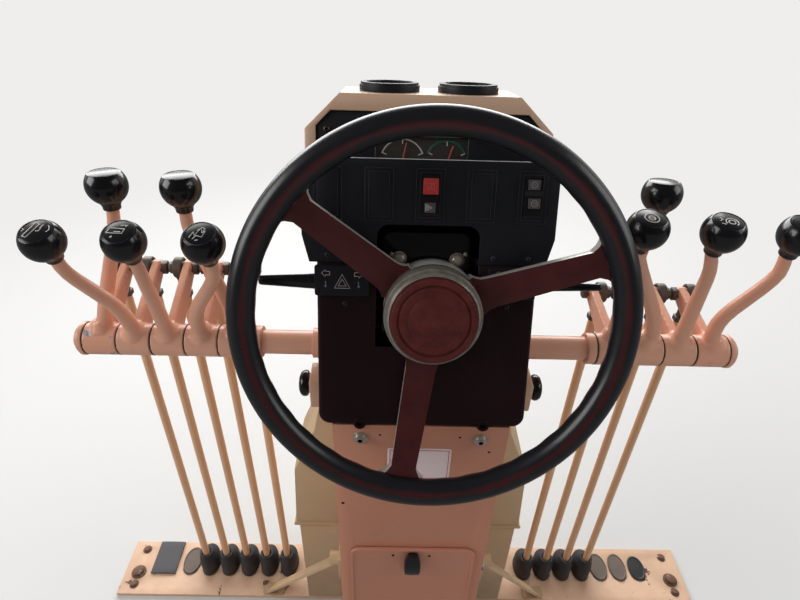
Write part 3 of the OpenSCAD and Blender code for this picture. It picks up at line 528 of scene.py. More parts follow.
# Pale bare metal for the spokes' side walls, made extra pale so that it also paints the highlight along their
# upper edges.
spoke_edge_sheen = finish(
    "spoke_edge_sheen", (0.66, 0.64, 0.60), (0.40, 0.37, 0.34), 0.34, 60.0, 0.9, 500.0, 0.1, 0.0003, metallic=0.3,
)
dark_steel = finish(
    "dark_steel", (0.085, 0.075, 0.068), (0.15, 0.115, 0.09), 0.5, 70.0, 0.9, 700.0, 0.25, 0.0004,
    metallic=0.5,
)
seal_rubber = finish(
    "seal_rubber", (0.020, 0.010, 0.009), (0.035, 0.018, 0.014), 0.6, 50.0, 0.6, 700.0, 0.1, 0.0003,
)
rusty_bolt = finish(
    "rusty_bolt", (0.22, 0.12, 0.08), (0.10, 0.045, 0.028), 0.66, 80.0, 1.0, 500.0, 0.6, 0.0008, metallic=0.2,
    chip={"where": {"Scale": 90.0, "Threshold": 0.60}, "colour": (0.42, 0.37, 0.32)},
)
# Sockets and holes are painted near black: painted shade inside them.
hole_shade = finish(
    "hole_shade", (0.004, 0.003, 0.003), (0.008, 0.006, 0.006), 0.8, 60.0, 0.5, 500.0, 0.1, 0.0002,
    specular=0.1,
)
print("metals and rubbers mixed")


# %% Mix the inks and the lens
def ink(name, colour, second, roughness=0.5, scale=120.0, amount=0.7, bump_reach=0.0001, **more):
    return finish(name, colour, second, roughness, scale, amount, 900.0, 0.05, bump_reach, **more)


knob_disc = ink(
    "knob_disc", (0.008, 0.008, 0.010), (0.013, 0.012, 0.014), 0.26, 40.0, 0.5, 0.0002, specular=0.32,
)
pale_print = ink("pale_print", (0.60, 0.50, 0.48), (0.42, 0.33, 0.32))
white_print = ink("white_print", (0.70, 0.69, 0.66), (0.50, 0.48, 0.45))
grey_print = ink("grey_print", (0.26, 0.25, 0.25), (0.16, 0.15, 0.15))
pink_print = ink("pink_print", (0.34, 0.16, 0.15), (0.22, 0.10, 0.095))
red_print = ink("red_print", (0.60, 0.035, 0.05), (0.48, 0.03, 0.04), 0.45, 90.0, 0.6)
green_print = ink("green_print", (0.035, 0.125, 0.085), (0.025, 0.085, 0.060), 0.5, 90.0, 0.6)
orange_needle = ink("orange_needle", (0.62, 0.105, 0.035), (0.50, 0.08, 0.03), 0.45, 90.0, 0.5)
red_lens = finish(
    "red_lens", (0.42, 0.022, 0.020), (0.56, 0.050, 0.040), 0.28, 60.0, 0.8, 700.0, 0.1, 0.0002, coat=0.3,
)
print("inks mixed")

# %% Glass over the dials
glass = bpy.data.materials.new("dial_glass")
glass.use_nodes = True
clear = glass.node_tree.nodes["Principled BSDF"]
clear.inputs["Base Color"].default_value = (0.95, 0.97, 0.96, 1)
clear.inputs["Roughness"].default_value = 0.05
clear.inputs["Transmission Weight"].default_value = 1.0
clear.inputs["Alpha"].default_value = 0.25
finishes["dial_glass"] = glass
print("glass ready")

# %% [markdown]
# The wheel's grip
# A maroon band runs along the side of the rim that faces the seat. It is partly worn skin and partly a
# painted reflection of a red shirt. The band is painted by the turn round the rim's own tube, so it follows
# the rim all the way round.

# %% Grip finish
BAND_TURN, BAND_WIDTH, BAND_SHARPNESS = 0.30, 0.60, 5.0
# The band's maroon is partly wear and partly a painted reflection of a red shirt.
MAROON_WEAR_AND_REFLECTION = (0.052, 0.0095, 0.0115, 1)
grip = finish(
    "wheel_grip", (0.0095, 0.010, 0.013), (0.014, 0.014, 0.017), 0.30, 30.0, 0.5, 500.0, 0.08, 0.0004,
    coat=0.12, specular=0.45,
)
tree = grip.node_tree
where = add_node(tree, "ShaderNodeTexCoord", (-1700, 600))
flat = add_node(tree, "ShaderNodeMapping", (-1500, 600), vector_type="TEXTURE")
flat.inputs["Location"].default_value = WHEEL_MIDDLE
flat.inputs["Rotation"].default_value = (math.pi / 2 - LEAN, 0, 0)
split = add_node(tree, "ShaderNodeSeparateXYZ", (-1300, 600))
tree.links.new(where.outputs["Object"], flat.inputs["Vector"])
tree.links.new(flat.outputs["Vector"], split.inputs[0])
square_x = math_node(tree, "MULTIPLY", (-1100, 700), split.outputs["X"], split.outputs["X"])
square_y = math_node(tree, "MULTIPLY", (-1100, 550), split.outputs["Y"], split.outputs["Y"])
out = math_node(tree, "SQRT", (-800, 650), math_node(tree, "ADD", (-950, 650), square_x, square_y))
across = math_node(tree, "SUBTRACT", (-650, 650), out, RING_RADIUS)
round_tube = math_node(tree, "ARCTAN2", (-500, 600), across, split.outputs["Z"])
from_band = math_node(tree, "ADD", (-350, 600), round_tube, BAND_TURN)
off_band = math_node(tree, "ABSOLUTE", (-200, 600), from_band)
wander = add_node(tree, "ShaderNodeTexNoise", (-500, 850), Scale=26.0, Detail=6.0, Roughness=0.6)
tree.links.new(where.outputs["Object"], wander.inputs["Vector"])
edge = math_node(tree, "MULTIPLY", (-200, 800), wander.outputs["Fac"], BAND_WIDTH)
inside = math_node(tree, "SUBTRACT", (0, 700), edge, off_band)
band = math_node(tree, "MULTIPLY", (150, 700), inside, BAND_SHARPNESS, True)
shader = tree.nodes["Principled BSDF"]
skin = shader.inputs["Base Color"].links[0].from_socket
band_colour = colour_mix(tree, (300, 500), band, skin, MAROON_WEAR_AND_REFLECTION)
tree.links.new(band_colour, shader.inputs["Base Color"])
finishes["wheel_grip"] = grip
print("grip band on a ring of", RING_RADIUS, "m")

# %% Give every CAD node its finish
slot_of = {s["node"]: s["material_slot"] for s in frame["record"]["subparts"]}
for name, obj in nodes.items():
    obj.data.materials.clear()
    obj.data.materials.append(finishes[slot_of[name]])
print("finishes on", len(nodes), "nodes")

# %% [markdown]
# Tools of the bench
# Most of this console is folded sheet, castings and turned parts, so a few small
# tools make nearly all of it. They pick one piece and work on it, round its
# edges, turn a profile on a lathe, cut a block or a prism, and draw fine lines.
# Each finished piece then gets a finish and a body to ride on.

# %% Pick a piece and work on it
def alone(piece):
    bpy.ops.object.select_all(action="DESELECT")
    piece.select_set(True)
    bpy.context.view_layer.objects.active = piece
    return piece


def applied(piece):
    bpy.ops.object.transform_apply(location=True, rotation=True, scale=True)
    return piece


def edited(piece, operator, **values):
    alone(piece)
    bpy.ops.object.mode_set(mode="EDIT")
    bpy.ops.mesh.select_all(action="SELECT")
    operator(**values)
    bpy.ops.object.mode_set(mode="OBJECT")
    return piece


def finished_with(piece, kind, **values):
    alone(piece)
    modifier = piece.modifiers.new(kind.lower(), kind)
    for key, value in values.items():
        setattr(modifier, key, value)
    bpy.ops.object.modifier_apply(modifier=modifier.name)
    return piece


def smoothed_by(degrees):
    bpy.ops.object.shade_smooth_by_angle(angle=math.radians(degrees))


print("picking tools ready")


# %% Join, place and copy pieces
def joined(name, pieces):
    alone(pieces[0])
    for part in pieces:
        part.select_set(True)
    bpy.ops.object.join()
    pieces[0].name = name
    return pieces[0]


def put(piece, matrix):
    piece.data.transform(matrix)
    piece.data.update()
    return piece


def copy_of(piece, name, matrix):
    twin = bpy.data.objects.new(name, piece.data.copy())
    bpy.context.scene.collection.objects.link(twin)
    return put(twin, matrix)


def scrap(*pieces):
    for piece in pieces:
        bpy.data.objects.remove(piece)


print("joining tools ready")

# %% Round the edges of a copy of a CAD solid
body_of = {name: body for body, names in frame["record"]["behaviour"]["bodies"].items() for name in names}
MERGE_WITHIN = 0.00002


def settle(piece, body, slot, material=None):
    piece.data.materials.clear()
    piece.data.materials.append(material or finishes[slot])
    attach(piece, body)
    return piece


def merged_copy(node):
    piece = alone(copy_of(nodes[node], node + "_dressed", Matrix.Identity(4)))
    bpy.ops.object.mode_set(mode="EDIT")
    bpy.ops.mesh.select_all(action="SELECT")
    bpy.ops.mesh.remove_doubles(threshold=MERGE_WITHIN)
    bpy.ops.mesh.dissolve_limited(angle_limit=math.radians(2))
    bpy.ops.object.mode_set(mode="OBJECT")
    return piece


def rounded(piece, width, segments=3, sharp=35):
    limit = {"limit_method": "ANGLE", "angle_limit": math.radians(sharp)}
    finished_with(piece, "BEVEL", width=width, segments=segments, **limit)
    smoothed_by(38)
    return piece


def soften(node, width, segments=3, material=None, sharp=35, reshape=None):
    piece = merged_copy(node)
    if reshape:
        reshape(piece)
    rounded(piece, width, segments, sharp)
    settle(piece, body_of[node], slot_of[node], material)
    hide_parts(node)
    return piece


print("bodies known for", len(body_of), "nodes")


# %% Turn a profile on a lathe
def turned(name, profile, steps=48, close=(True, True)):
    radius, height = profile[0]
    bpy.ops.mesh.primitive_circle_add(vertices=steps, radius=radius, location=(0, 0, height))
    piece = applied(bpy.context.object)
    piece.name = name
    bpy.ops.object.mode_set(mode="EDIT")
    bpy.ops.mesh.select_all(action="SELECT")
    if close[0]:
        bpy.ops.mesh.edge_face_add()
    for next_radius, next_height in profile[1:]:
        bpy.ops.mesh.extrude_edges_move(TRANSFORM_OT_translate={"value": (0, 0, next_height - height)})
        grow = next_radius / radius
        bpy.ops.transform.resize(value=(grow, grow, 1), center_override=(0, 0, next_height))
        radius, height = next_radius, next_height
    if close[1]:
        bpy.ops.mesh.edge_face_add()
    bpy.ops.mesh.select_all(action="SELECT")
    bpy.ops.mesh.remove_doubles(threshold=MERGE_WITHIN / 10)
    bpy.ops.mesh.normals_make_consistent(inside=False)
    bpy.ops.object.mode_set(mode="OBJECT")
    smoothed_by(32)
    return piece


print("lathe ready")


# %% Cut a block or a prism
def block(name, width, height, low, high):
    bpy.ops.mesh.primitive_cube_add(size=1, location=(0, 0, (low + high) / 2))
    piece = bpy.context.object
    piece.name = name
    piece.scale = (width, height, high - low)
    return applied(piece)


def prism(name, sides, radius, low, high, edge):
    middle = (0, 0, (low + high) / 2)
    bpy.ops.mesh.primitive_cylinder_add(vertices=sides, radius=radius, depth=high - low, location=middle)
    piece = applied(bpy.context.object)
    piece.name = name
    return edited(piece, bpy.ops.mesh.bevel, offset=edge, segments=2, affect="EDGES")


print("saw ready")


# %% Draw fine lines
def drawn(name, lines, width, matrix, closed=()):
    curve = bpy.data.curves.new(name, "CURVE")
    curve.dimensions = "3D"
    curve.bevel_depth = width / 2
    curve.bevel_resolution = 1
    curve.use_fill_caps = True
    for number, line in enumerate(lines):
        spline = curve.splines.new("POLY")
        spline.points.add(len(line) - 1)
        for point, (x, y) in zip(spline.points, line):
            point.co = (x, y, 0, 1)
        spline.use_cyclic_u = number in closed
    piece = bpy.data.objects.new(name, curve)
    bpy.context.scene.collection.objects.link(piece)
    alone(piece)
    bpy.ops.object.convert(target="MESH")
    return put(bpy.context.object, matrix)


def arc(radius, first, last, steps=24, middle=(0, 0)):
    turns = [math.radians(first + (last - first) * k / steps) for k in range(steps + 1)]
    return [(middle[0] + radius * math.cos(t), middle[1] + radius * math.sin(t)) for t in turns]


def scaled(points, size=MM):
    return [(x * size, y * size) for x, y in points]


print("pen ready")

# %% [markdown]
# Sheet metal
# The pedestal, the duct, the cheeks and the cowl are folded and welded sheet, so
# their edges are small rounds, never knife edges. The CAD solids already have
# the right shape. Each is copied, merged, rounded and dressed in paint.

# %% Fold the sheet metal
for node, width, paint in (
    ("pedestal", 0.0028, pedestal_shaded_paint), ("duct_base", 0.004, cream_paint), ("cowl", 0.0045, None),
    ("side_braces", 0.0012, cream_paint), ("floor_plate", 0.0012, None), ("lever_shaft", 0.0006, lever_paint),
    ("access_door", 0.0011, pedestal_shaded_paint),
):
    piece = soften(node, width, material=paint)
    print(node, len(piece.data.polygons), "faces")

# %% [markdown]
# Narrow cheeks
# On the real console the sheet beside the shroud is only a thin edge, and the
# duct's neck and the shaft's collars meet it there. The copies are drawn in
# towards the middle before their edges are rounded. Inside its edge the sheet is
# black. A small plate on each side carries a clamp knob.

# %% Draw the cheeks, the neck and the collars in
DRAWN_IN = 0.0195
CHEEK_FROM = 0.128
NECK_FROM, NECK_FOOT = 0.115, 0.60
COLLARS_FROM, COLLARS_TO = 0.10, 0.19
RECESS_DEEP, RECESS_LOW, RECESS_HIGH = -0.200, -0.17, 0.158


def draw_in(least, most=1.0, low=-1.0, middle=CONSOLE_X):
    def reshape(piece):
        for vertex in piece.data.vertices:
            across = vertex.co.x - middle
            if least < abs(across) < most and vertex.co.z > low:
                vertex.co.x -= math.copysign(DRAWN_IN, across)
    return reshape


shell = soften("console_shell", 0.0015, reshape=draw_in(CHEEK_FROM))
shell.data.materials.append(finishes["black_plastic"])
for face in shell.data.polygons:
    inside = to_wheel @ face.center
    between = abs(inside.x - CONSOLE_X) < SHROUD_HALF - 0.002
    if between and inside.z > RECESS_DEEP and RECESS_LOW < inside.y < RECESS_HIGH:
        face.material_index = 1
soften("duct_cover", 0.004, material=cream_paint, reshape=draw_in(NECK_FROM, low=NECK_FOOT))
collars_in = draw_in(COLLARS_FROM, most=COLLARS_TO, middle=0.0)
soften("shaft_collars", 0.0012, material=lever_paint, reshape=collars_in)
print("shell", len(shell.data.polygons), "faces")

# %% Roll the duct cover's lower lip
(left, front, low), (right, back, high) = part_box("duct_cover")
lip_line = [(left, back), (left, front), (right, front), (right, back)]
LIP_THICK = 0.0090
lip = drawn("duct_cover_lip", [lip_line], LIP_THICK, Matrix.Translation((0, 0, low + LIP_THICK / 2)))
settle(lip, "console", "tan_paint", cream_paint)
smoothed_by(40)
print("lip runs", round(right - left, 3), "m across")

# %% Clamp plates with their knobs
PLATE_OUT = {-1: 0.1441, 1: 0.1484}
CLAMP_Y, CLAMP_Z, PLATE_Z = -0.130, 0.700, 0.697
clamp_master = turned("clamp_master", [
    (0.0060, 0.0), (0.0062, 0.0030), (0.0140, 0.0032), (0.0168, 0.0050), (0.0176, 0.0085),
    (0.0170, 0.0125), (0.0148, 0.0160), (0.0105, 0.0182), (0.0050, 0.0190), (0.0006, 0.0192),
], 48)
clamps, clamp_plates = [], []
for side, out in PLATE_OUT.items():
    outward = Matrix.Rotation(side * math.pi / 2, 4, "Y") @ sized(1, 1, 0.82)
    at = Matrix.Translation((CONSOLE_X + side * out, CLAMP_Y, CLAMP_Z))
    clamps.append(copy_of(clamp_master, f"clamp_{side}", at @ outward))
    inner = SHROUD_HALF + 0.001
    piece = rounded(block(f"clamp_plate_{side}", out - inner, 0.040, -0.023, 0.023), 0.0025)
    plate_x = CONSOLE_X + side * (out + inner) / 2
    clamp_plates.append(put(piece, Matrix.Translation((plate_x, CLAMP_Y, PLATE_Z))))
scrap(clamp_master)
clamp_pair = settle(joined("clamp_knob_pair", clamps), "console", "gloss_black")
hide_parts("clamp_knobs")
settle(joined("clamp_plates", clamp_plates), "console", "tan_paint")
print("clamp knobs stand", sorted(PLATE_OUT.values()), "m out")

# %% [markdown]
# Moulded black parts
# The shroud, the switch panel and the small boxes are moulded plastic. A mould
# gives tight, even rounds, and a fine grain on the flat faces.

# %% Round the moulded parts
for node, width in (
    ("switch_panel", 0.0022), ("gauge_bezel", 0.0009), ("air_vents", 0.0007), ("column_bracket", 0.0012),
    ("signal_boxes", 0.0012), ("steering_column", 0.0015),
):
    piece = soften(node, width)
    print(node, len(piece.data.polygons), "faces")

# %% Round the shroud's outer edges more than the rest
OUTLINE_X, OUTLINE_FOOT, OUTLINE_ROUND = 0.105, -0.132, 0.0048
# The shroud's black carries a maroon tint: black plastic with a painted reflection of a red shirt.
shroud_black_red_reflection = finish(
    "shroud_black_red_reflection", (0.0165, 0.0055, 0.0070), (0.0225, 0.0080, 0.0098), 0.46, 8.0, 0.8, 1500.0, 0.25, 0.0003,
    specular=0.16,
)


def round_outline(piece):
    bpy.ops.object.mode_set(mode="EDIT")
    bpy.ops.mesh.select_mode(type="EDGE")
    bpy.ops.mesh.select_all(action="DESELECT")
    bpy.ops.object.mode_set(mode="OBJECT")
    for edge in piece.data.edges:
        ends = [to_wheel @ piece.data.vertices[k].co for k in edge.vertices]
        on_face = all(abs(end.z - PANEL_H) < 0.0005 for end in ends)
        outer = all(abs(end.x - CONSOLE_X) > OUTLINE_X or end.y < OUTLINE_FOOT for end in ends)
        edge.select = on_face and outer
    bpy.ops.object.mode_set(mode="EDIT")
    bpy.ops.mesh.bevel(offset=OUTLINE_ROUND, segments=5, affect="EDGES")
    bpy.ops.mesh.select_mode(type="VERT")
    bpy.ops.object.mode_set(mode="OBJECT")


shroud = soften("shroud", 0.0016, 2, shroud_black_red_reflection, reshape=round_outline)
print("shroud", len(shroud.data.polygons), "faces")

# %% Turn the stalks
STALK_S, STALK_H, STALK_ROOT = 0.027, -0.060, 0.004
stalk_pair = []
for side, reach, deep in ((-1, 0.189, 1), (1, 0.198, 0.7)):
    long = reach - SHROUD_HALF + STALK_ROOT
    stalk = turned(f"stalk_{side}", [
        (0.0090, 0.0), (0.0086, 0.012), (0.0073, long * 0.5), (0.0060, long * 0.85),
        (0.0058, long - 0.006), (0.0054, long - 0.002), (0.0040, long - 0.0004), (0.0006, long),
    ], 32)
    flat = Matrix.Rotation(side * math.pi / 2, 4, "Y") @ sized(0.55, deep, 1)
    stalk_pair.append(put(stalk, on_console(side * (SHROUD_HALF - STALK_ROOT), STALK_S, STALK_H) @ flat))
stalks = settle(joined("stalk_pair", stalk_pair), "console", "gloss_black")
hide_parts("stalks")
print("stalks", len(stalks.data.polygons), "faces")

# %% Mould the door's latch
LATCH_WIDE, LATCH_TALL, LATCH_THICK, LATCH_Z = 0.0250, 0.0470, 0.0130, 0.428
DOOR_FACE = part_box("info_plate")[0][1] - 0.0035
latch = block("door_latch_pull", LATCH_WIDE, LATCH_TALL, -LATCH_THICK / 2, LATCH_THICK / 2)
edited(latch, bpy.ops.mesh.subdivide, number_cuts=7)
for vertex in latch.data.vertices:
    x, y, z = vertex.co
    up = 2 * y / LATCH_TALL
    narrow = 1.0 - 0.40 * max(0.0, up) ** 2.4 - 0.42 * max(0.0, -up) ** 5
    belly = 1.0 - 0.45 * max(0.0, up) ** 1.5 - 0.35 * max(0.0, -up) ** 6
    pinch = 1.0 - 0.10 * abs(2 * z / LATCH_THICK) ** 4
    end_round = 1.0 - 0.05 * abs(2 * x / LATCH_WIDE) ** 3
    vertex.co = Vector((x * narrow * pinch, y * end_round, (z + LATCH_THICK / 2) * belly))
rounded(latch, 0.0030, 4, 50)
finished_with(latch, "SMOOTH", factor=0.5, iterations=6)
bpy.ops.object.shade_smooth()
put(latch, Matrix.Translation((CONSOLE_X, DOOR_FACE, LATCH_Z)) @ TO_SEAT)
settle(latch, "door", "gloss_black")
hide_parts("door_latch")
print("latch", len(latch.data.polygons), "faces")

# %% [markdown]
# The steering wheel
# A steel ring runs inside a thick moulded grip, and three pressed spokes drop
# from it to a deep hub. The grip is a ring with a parting line at its back and
# shallow finger hollows underneath, as on most machine wheels.

# %% Mould the grip
FINGER_HOLLOWS, HOLLOW_DEPTH = 36, 0.0013
bpy.ops.mesh.primitive_torus_add(
    major_segments=180, minor_segments=28, major_radius=RING_RADIUS, minor_radius=RIM_TUBE, location=(0, 0, 0)
)
grip_ring = bpy.context.object
grip_ring.name = "wheel_grip_ring"
for vertex in grip_ring.data.vertices:
    x, y, z = vertex.co
    around, radial = math.atan2(y, x), math.hypot(x, y)
    round_tube = math.atan2(z, radial - RING_RADIUS)
    under = max(0.0, -math.sin(round_tube) * 0.9 - math.cos(round_tube) * 0.3)
    dip = HOLLOW_DEPTH * under * (0.5 + 0.5 * math.cos(FINGER_HOLLOWS * around))
    inward = Vector((RING_RADIUS * x / radial - x, RING_RADIUS * y / radial - y, -z)).normalized()
    vertex.co += inward * dip
bpy.ops.object.shade_smooth()
put(grip_ring, wheel_frame)
settle(grip_ring, "steering", "wheel_grip")
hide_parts("wheel_rim")
print("grip faces", len(grip_ring.data.polygons))

# %% Press the spokes
# A face whose normal has less than this along the axis is a pressed edge.
SIDEWAYS = 0.72
wheel_axis = Vector((0.0, -math.cos(LEAN), math.sin(LEAN)))
spokes = soften("wheel_spokes", 0.0016, 3, sharp=28)
# The side walls take the pale metal: partly bare metal, partly a painted highlight.
spokes.data.materials.append(spoke_edge_sheen)
for face in spokes.data.polygons:
    if abs(face.normal.dot(wheel_axis)) < SIDEWAYS:
        face.material_index = 1
print("spokes", len(spokes.data.polygons), "faces")

# %% [markdown]
# The horn pad
# A pale collar stands on the hub and lifts a soft pad to the level of the rim.
# The pad has a flat outer ring, a groove, and a crowned middle, and a thin
# bright ring holds it.

# %% Turn the horn pad and its seat
pad = turned("horn_pad_soft", [
    (0.0450, -0.0120), (0.0462, -0.0095), (0.0466, -0.0060), (0.0464, -0.0030), (0.0455, -0.0012),
    (0.0440, -0.0004), (0.0405, 0.0000), (0.0394, -0.0003), (0.0386, -0.0016), (0.0378, -0.0019),
    (0.0370, -0.0013), (0.0362, 0.0000), (0.0340, 0.0006), (0.0290, 0.0010), (0.0278, 0.0005),
    (0.0266, 0.0011), (0.0180, 0.0019), (0.0100, 0.0024), (0.0020, 0.0026),
], 96)
put(pad, wheel_frame)
settle(pad, "steering", "horn_vinyl")
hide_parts("horn_pad")
seat = turned("horn_pad_seat", [
    (0.0500, -0.0600), (0.0532, -0.0600), (0.0534, -0.0200), (0.0532, -0.0165), (0.0522, -0.0152),
    (0.0514, -0.0150), (0.0511, -0.0143), (0.0510, -0.0125), (0.0500, -0.0098), (0.0488, -0.0082),
    (0.0480, -0.0078), (0.0474, -0.0084), (0.0472, -0.0100), (0.0440, -0.0110),
], 96, close=(False, False))
put(seat, wheel_frame)
settle(seat, "steering", "spoke_paint", hub_metal)
ring = turned("horn_pad_ring", [
    (0.0466, -0.0090), (0.0478, -0.0090), (0.0480, -0.0068), (0.0474, -0.0058), (0.0468, -0.0062),
    (0.0466, -0.0090),
], 96, close=(False, False))
put(ring, wheel_frame)
bright_ring = finish(
    "bright_ring", (0.72, 0.71, 0.68), (0.55, 0.53, 0.50), 0.24, 60.0, 0.6, 900.0, 0.05, 0.0002, metallic=0.8,
)
settle(ring, "steering", "spoke_paint", bright_ring)
print("pad", len(pad.data.polygons), "seat", len(seat.data.polygons))

# %% [markdown]
# Hand levers
# Each lever is a casting: a hub that turns on the shaft, a handle that was bent
# to reach its place, and an arm ahead that lifts the rod. Castings have no sharp
# corner. A copy is remeshed in small cells and smoothed, which blends handle,
# arm and hub as a fillet would.

# %% Cast the levers
CAST_CELL, CAST_ROUNDS = 0.0016, 5


def cast(node, material):
    piece = merged_copy(node)
    finished_with(piece, "REMESH", mode="VOXEL", voxel_size=CAST_CELL)
    finished_with(piece, "SMOOTH", factor=0.5, iterations=CAST_ROUNDS)
    bpy.ops.object.shade_smooth()
    settle(piece, body_of[node], slot_of[node], material)
    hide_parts(node)
    return piece


for number in range(1, 10):
    piece = cast(f"lever_{number}", scuffed_hub if number in (1, 9) else lever_paint)
print("levers cast,", len(piece.data.polygons), "faces in the last")

# %% [markdown]
# Where the levers stand
# The table repeats the CAD's own: the side, the hub's number outward from the
# console, the handle's lean, and the knob's shift and height along the handle.
# One matrix a lever then puts any piece on it.

# %% Set out the levers
RISE = {-1: 0.049, 1: 0.023}
LEVERS = [
    # side, hub, lean, knob_out, knob_up
    (-1, 4, 4.0, -0.052, 0.212), (-1, 3, -18.5, 0.035, 0.190), (-1, 2, -18.0, -0.006, 0.190),
    (-1, 1, -18.0, -0.046, 0.190), (-1, 0, 4.0, 0.039, 0.211), (1, 0, 9.0, 0.022, 0.212),
    (1, 1, -10.5, -0.061, 0.202), (1, 2, -10.5, -0.021, 0.200), (1, 3, -10.5, 0.021, 0.199),
]


def lever_place(number):
    side, hub, lean, out, up = LEVERS[number - 1]
    x = side * (BANK_START + (hub + 0.5) * HUB_PITCH)
    at_shaft = Matrix.Translation((x, SHAFT_Y, SHAFT_Z)) @ Matrix.Rotation(math.radians(-lean), 4, "X")
    knob_at = at_shaft @ Matrix.Translation((side * out, 0, up))
    stud_at = Vector((x, 0, SHAFT_Z + RISE[side]))
    return side, knob_at, stud_at


print("hub spacing", HUB_PITCH)

# %% [markdown]
# Knobs
# A knob is a black ball with its top cut flat, where a printed disc says what
# the lever does. It is a sphere, cut by a plane, with an inset disc, and a
# tapered collar under it. One is modelled and nine copies are placed.

# %% Turn one knob
KNOB_R, DISC_R = 0.023, 0.0168
KNOB_FLAT = KNOB_R * 0.66
bpy.ops.mesh.primitive_uv_sphere_add(segments=56, ring_count=32, radius=KNOB_R, location=(0, 0, 0))
ball = bpy.context.object
bpy.ops.object.mode_set(mode="EDIT")
bpy.ops.mesh.select_all(action="SELECT")
bpy.ops.mesh.bisect(plane_co=(0, 0, KNOB_FLAT), plane_no=(0, 0, 1), use_fill=True, clear_outer=True)
bpy.ops.mesh.bevel(offset=0.0009, segments=3, affect="EDGES")
bpy.ops.mesh.select_all(action="DESELECT")
bpy.ops.object.mode_set(mode="OBJECT")
for face in ball.data.polygons:
    face.select = face.center.z > KNOB_FLAT - 0.0002 and face.normal.z > 0.999 and face.area > 0.0002
bpy.ops.object.mode_set(mode="EDIT")
bpy.ops.mesh.inset(thickness=0.0008, depth=-0.0004)
bpy.ops.mesh.inset(thickness=0.0006, depth=0.0003)
bpy.ops.object.mode_set(mode="OBJECT")
smoothed_by(30)
collar = turned("knob_collar", [
    (0.0075, -0.0285), (0.0094, -0.0282), (0.0098, -0.0274), (0.0101, -0.0235), (0.0112, -0.0215),
    (0.0124, -0.0195), (0.0124, -0.0150),
], 40)
knob_master = joined("knob_master", [ball, collar])
print("knob", len(knob_master.data.polygons), "faces")

# %% Place the knobs
for number in range(1, 10):
    _, knob_at, _ = lever_place(number)
    knob = copy_of(knob_master, f"knob_{number}_ball", knob_at)
    settle(knob, f"hand_lever_{number}", "gloss_black")
    knob.data.materials.append(knob_disc)
    for face in knob.data.polygons:
        up = knob_at.inverted() @ face.center
        if up.z > KNOB_FLAT - 0.0008 and up.xy.length < DISC_R:
            face.material_index = 1
    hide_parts(f"knob_{number}")
scrap(knob_master)
print("nine knobs placed")

# %% [markdown]
# What the knobs say
# Each disc shows the motion that its lever gives, in thin white lines: a blade
# that lifts or slides, a frame that turns. They are generic signs, drawn as
# lines and made mesh.

# %% Draw the signs
WING, WING_SPREAD = 2.2, 0.7


def arrow(x, y, reach, turn):
    round_by = Matrix.Rotation(math.radians(turn), 2)
    tip = Vector((x, y)) + round_by @ Vector((reach, 0))
    wings = [tip + round_by @ Vector((-WING, -WING * out)) for out in (WING_SPREAD, -WING_SPREAD)]
    return [[(x, y), tip], [wings[0], tip, wings[1]]]


SIGNS = {
    2: [[(-11, -7.5), (-6.5, -9), (0.5, 10), (-4, 11.5), (-11, -7.5)], [(3, 4), (5, 9)]]
    + [[(0, 0), (3, 0), (4, 4)], [(-14.5, -1), (-12.5, 1.5), (-14.5, 3)]]
    + [[(11, -1), (13, 2), (12, 6), (10.5, 8)]],
    3: [[(-12.5, -2), (4, -2.5), (5, 4), (-10.5, 5), (-12.5, -2)], [(0, 8.5), (7, 9.5), (5, 7)]]
    + [[(-7, -8), (-5, -6.5), (-6, -9)], [(-5, 0), (2, -0.3)]],
    4: [[(-10, -6), (-7, 2), (-5, -3), (0, 8), (2, 1), (5, 3), (3, -5), (-3, -3), (-6, -8)]]
    + [[(-3, 4), (1, 9), (4, 7), (3, 2)], [(-3, -10), (0, -9)]],
    7: [arc(7.5, 0, 360, 22), arc(3.5, 0, 360, 16), [(-3, 0), (3, 0)]],
    8: [arc(6.5, -60, 200, 22, (3, -1)), arc(3.5, 0, 360, 16, (3, -1))]
    + [[(-9, 1), (-5, 4), (-8, 6)], [(-9, -3), (-5, -5)]],
    9: [arc(6.5, 20, 340, 22)] + arrow(0, 0, 4, 90),
}
for number, lines in SIGNS.items():
    _, knob_at, _ = lever_place(number)
    sign = drawn(
        f"knob_{number}_sign", [scaled(line) for line in lines], 0.0011,
        knob_at @ Matrix.Translation((0, 0, KNOB_FLAT - 0.0001)),
    )
    settle(sign, f"hand_lever_{number}", "gloss_black", white_print)
print("signs on", sorted(SIGNS))

# %% [markdown]
# Control rods
# A lever's forward arm carries a stud, and a ball joint on the stud lifts a long
# rod that goes down through the floor. The joint is a ring with a ball in it, a
# threaded neck and a lock nut. It is made once in dark steel and copied.

# %% Make a ball joint
EYE_R, EYE_HALF = 0.0150, 0.0060
eye_ring = turned("eye_ring", [
    (0.0105, -0.0050), (0.0115, -EYE_HALF), (0.0140, -EYE_HALF), (EYE_R, -0.0048), (EYE_R, 0.0048),
    (0.0140, EYE_HALF), (0.0115, EYE_HALF), (0.0105, 0.0050), (0.0105, -0.0050),
], 48, close=(False, False))
eye_ball = turned("eye_ball", [
    (0.0062, -0.0088), (0.0086, -0.0066), (0.0100, -0.0036), (0.0104, 0.0), (0.0100, 0.0036),
    (0.0086, 0.0066), (0.0062, 0.0088),
], 40)
for piece in (eye_ring, eye_ball):
    put(piece, ACROSS)
neck_profile = [(0.0068, -0.0420), (0.0068, -0.0270)]
neck_profile += [(0.0062 + 0.0007 * (k % 2), -0.0262 + 0.0011 * k) for k in range(8)]
neck_profile += [(0.0078, -0.0160), (0.0084, -0.0120)]
neck = turned("eye_neck", neck_profile, 32)
lock_nut = prism("lock_nut", 6, 0.0105, -0.048, -0.040, 0.0007)
smoothed_by(30)
joint_master = joined("ball_joint", [eye_ring, eye_ball, neck, lock_nut])
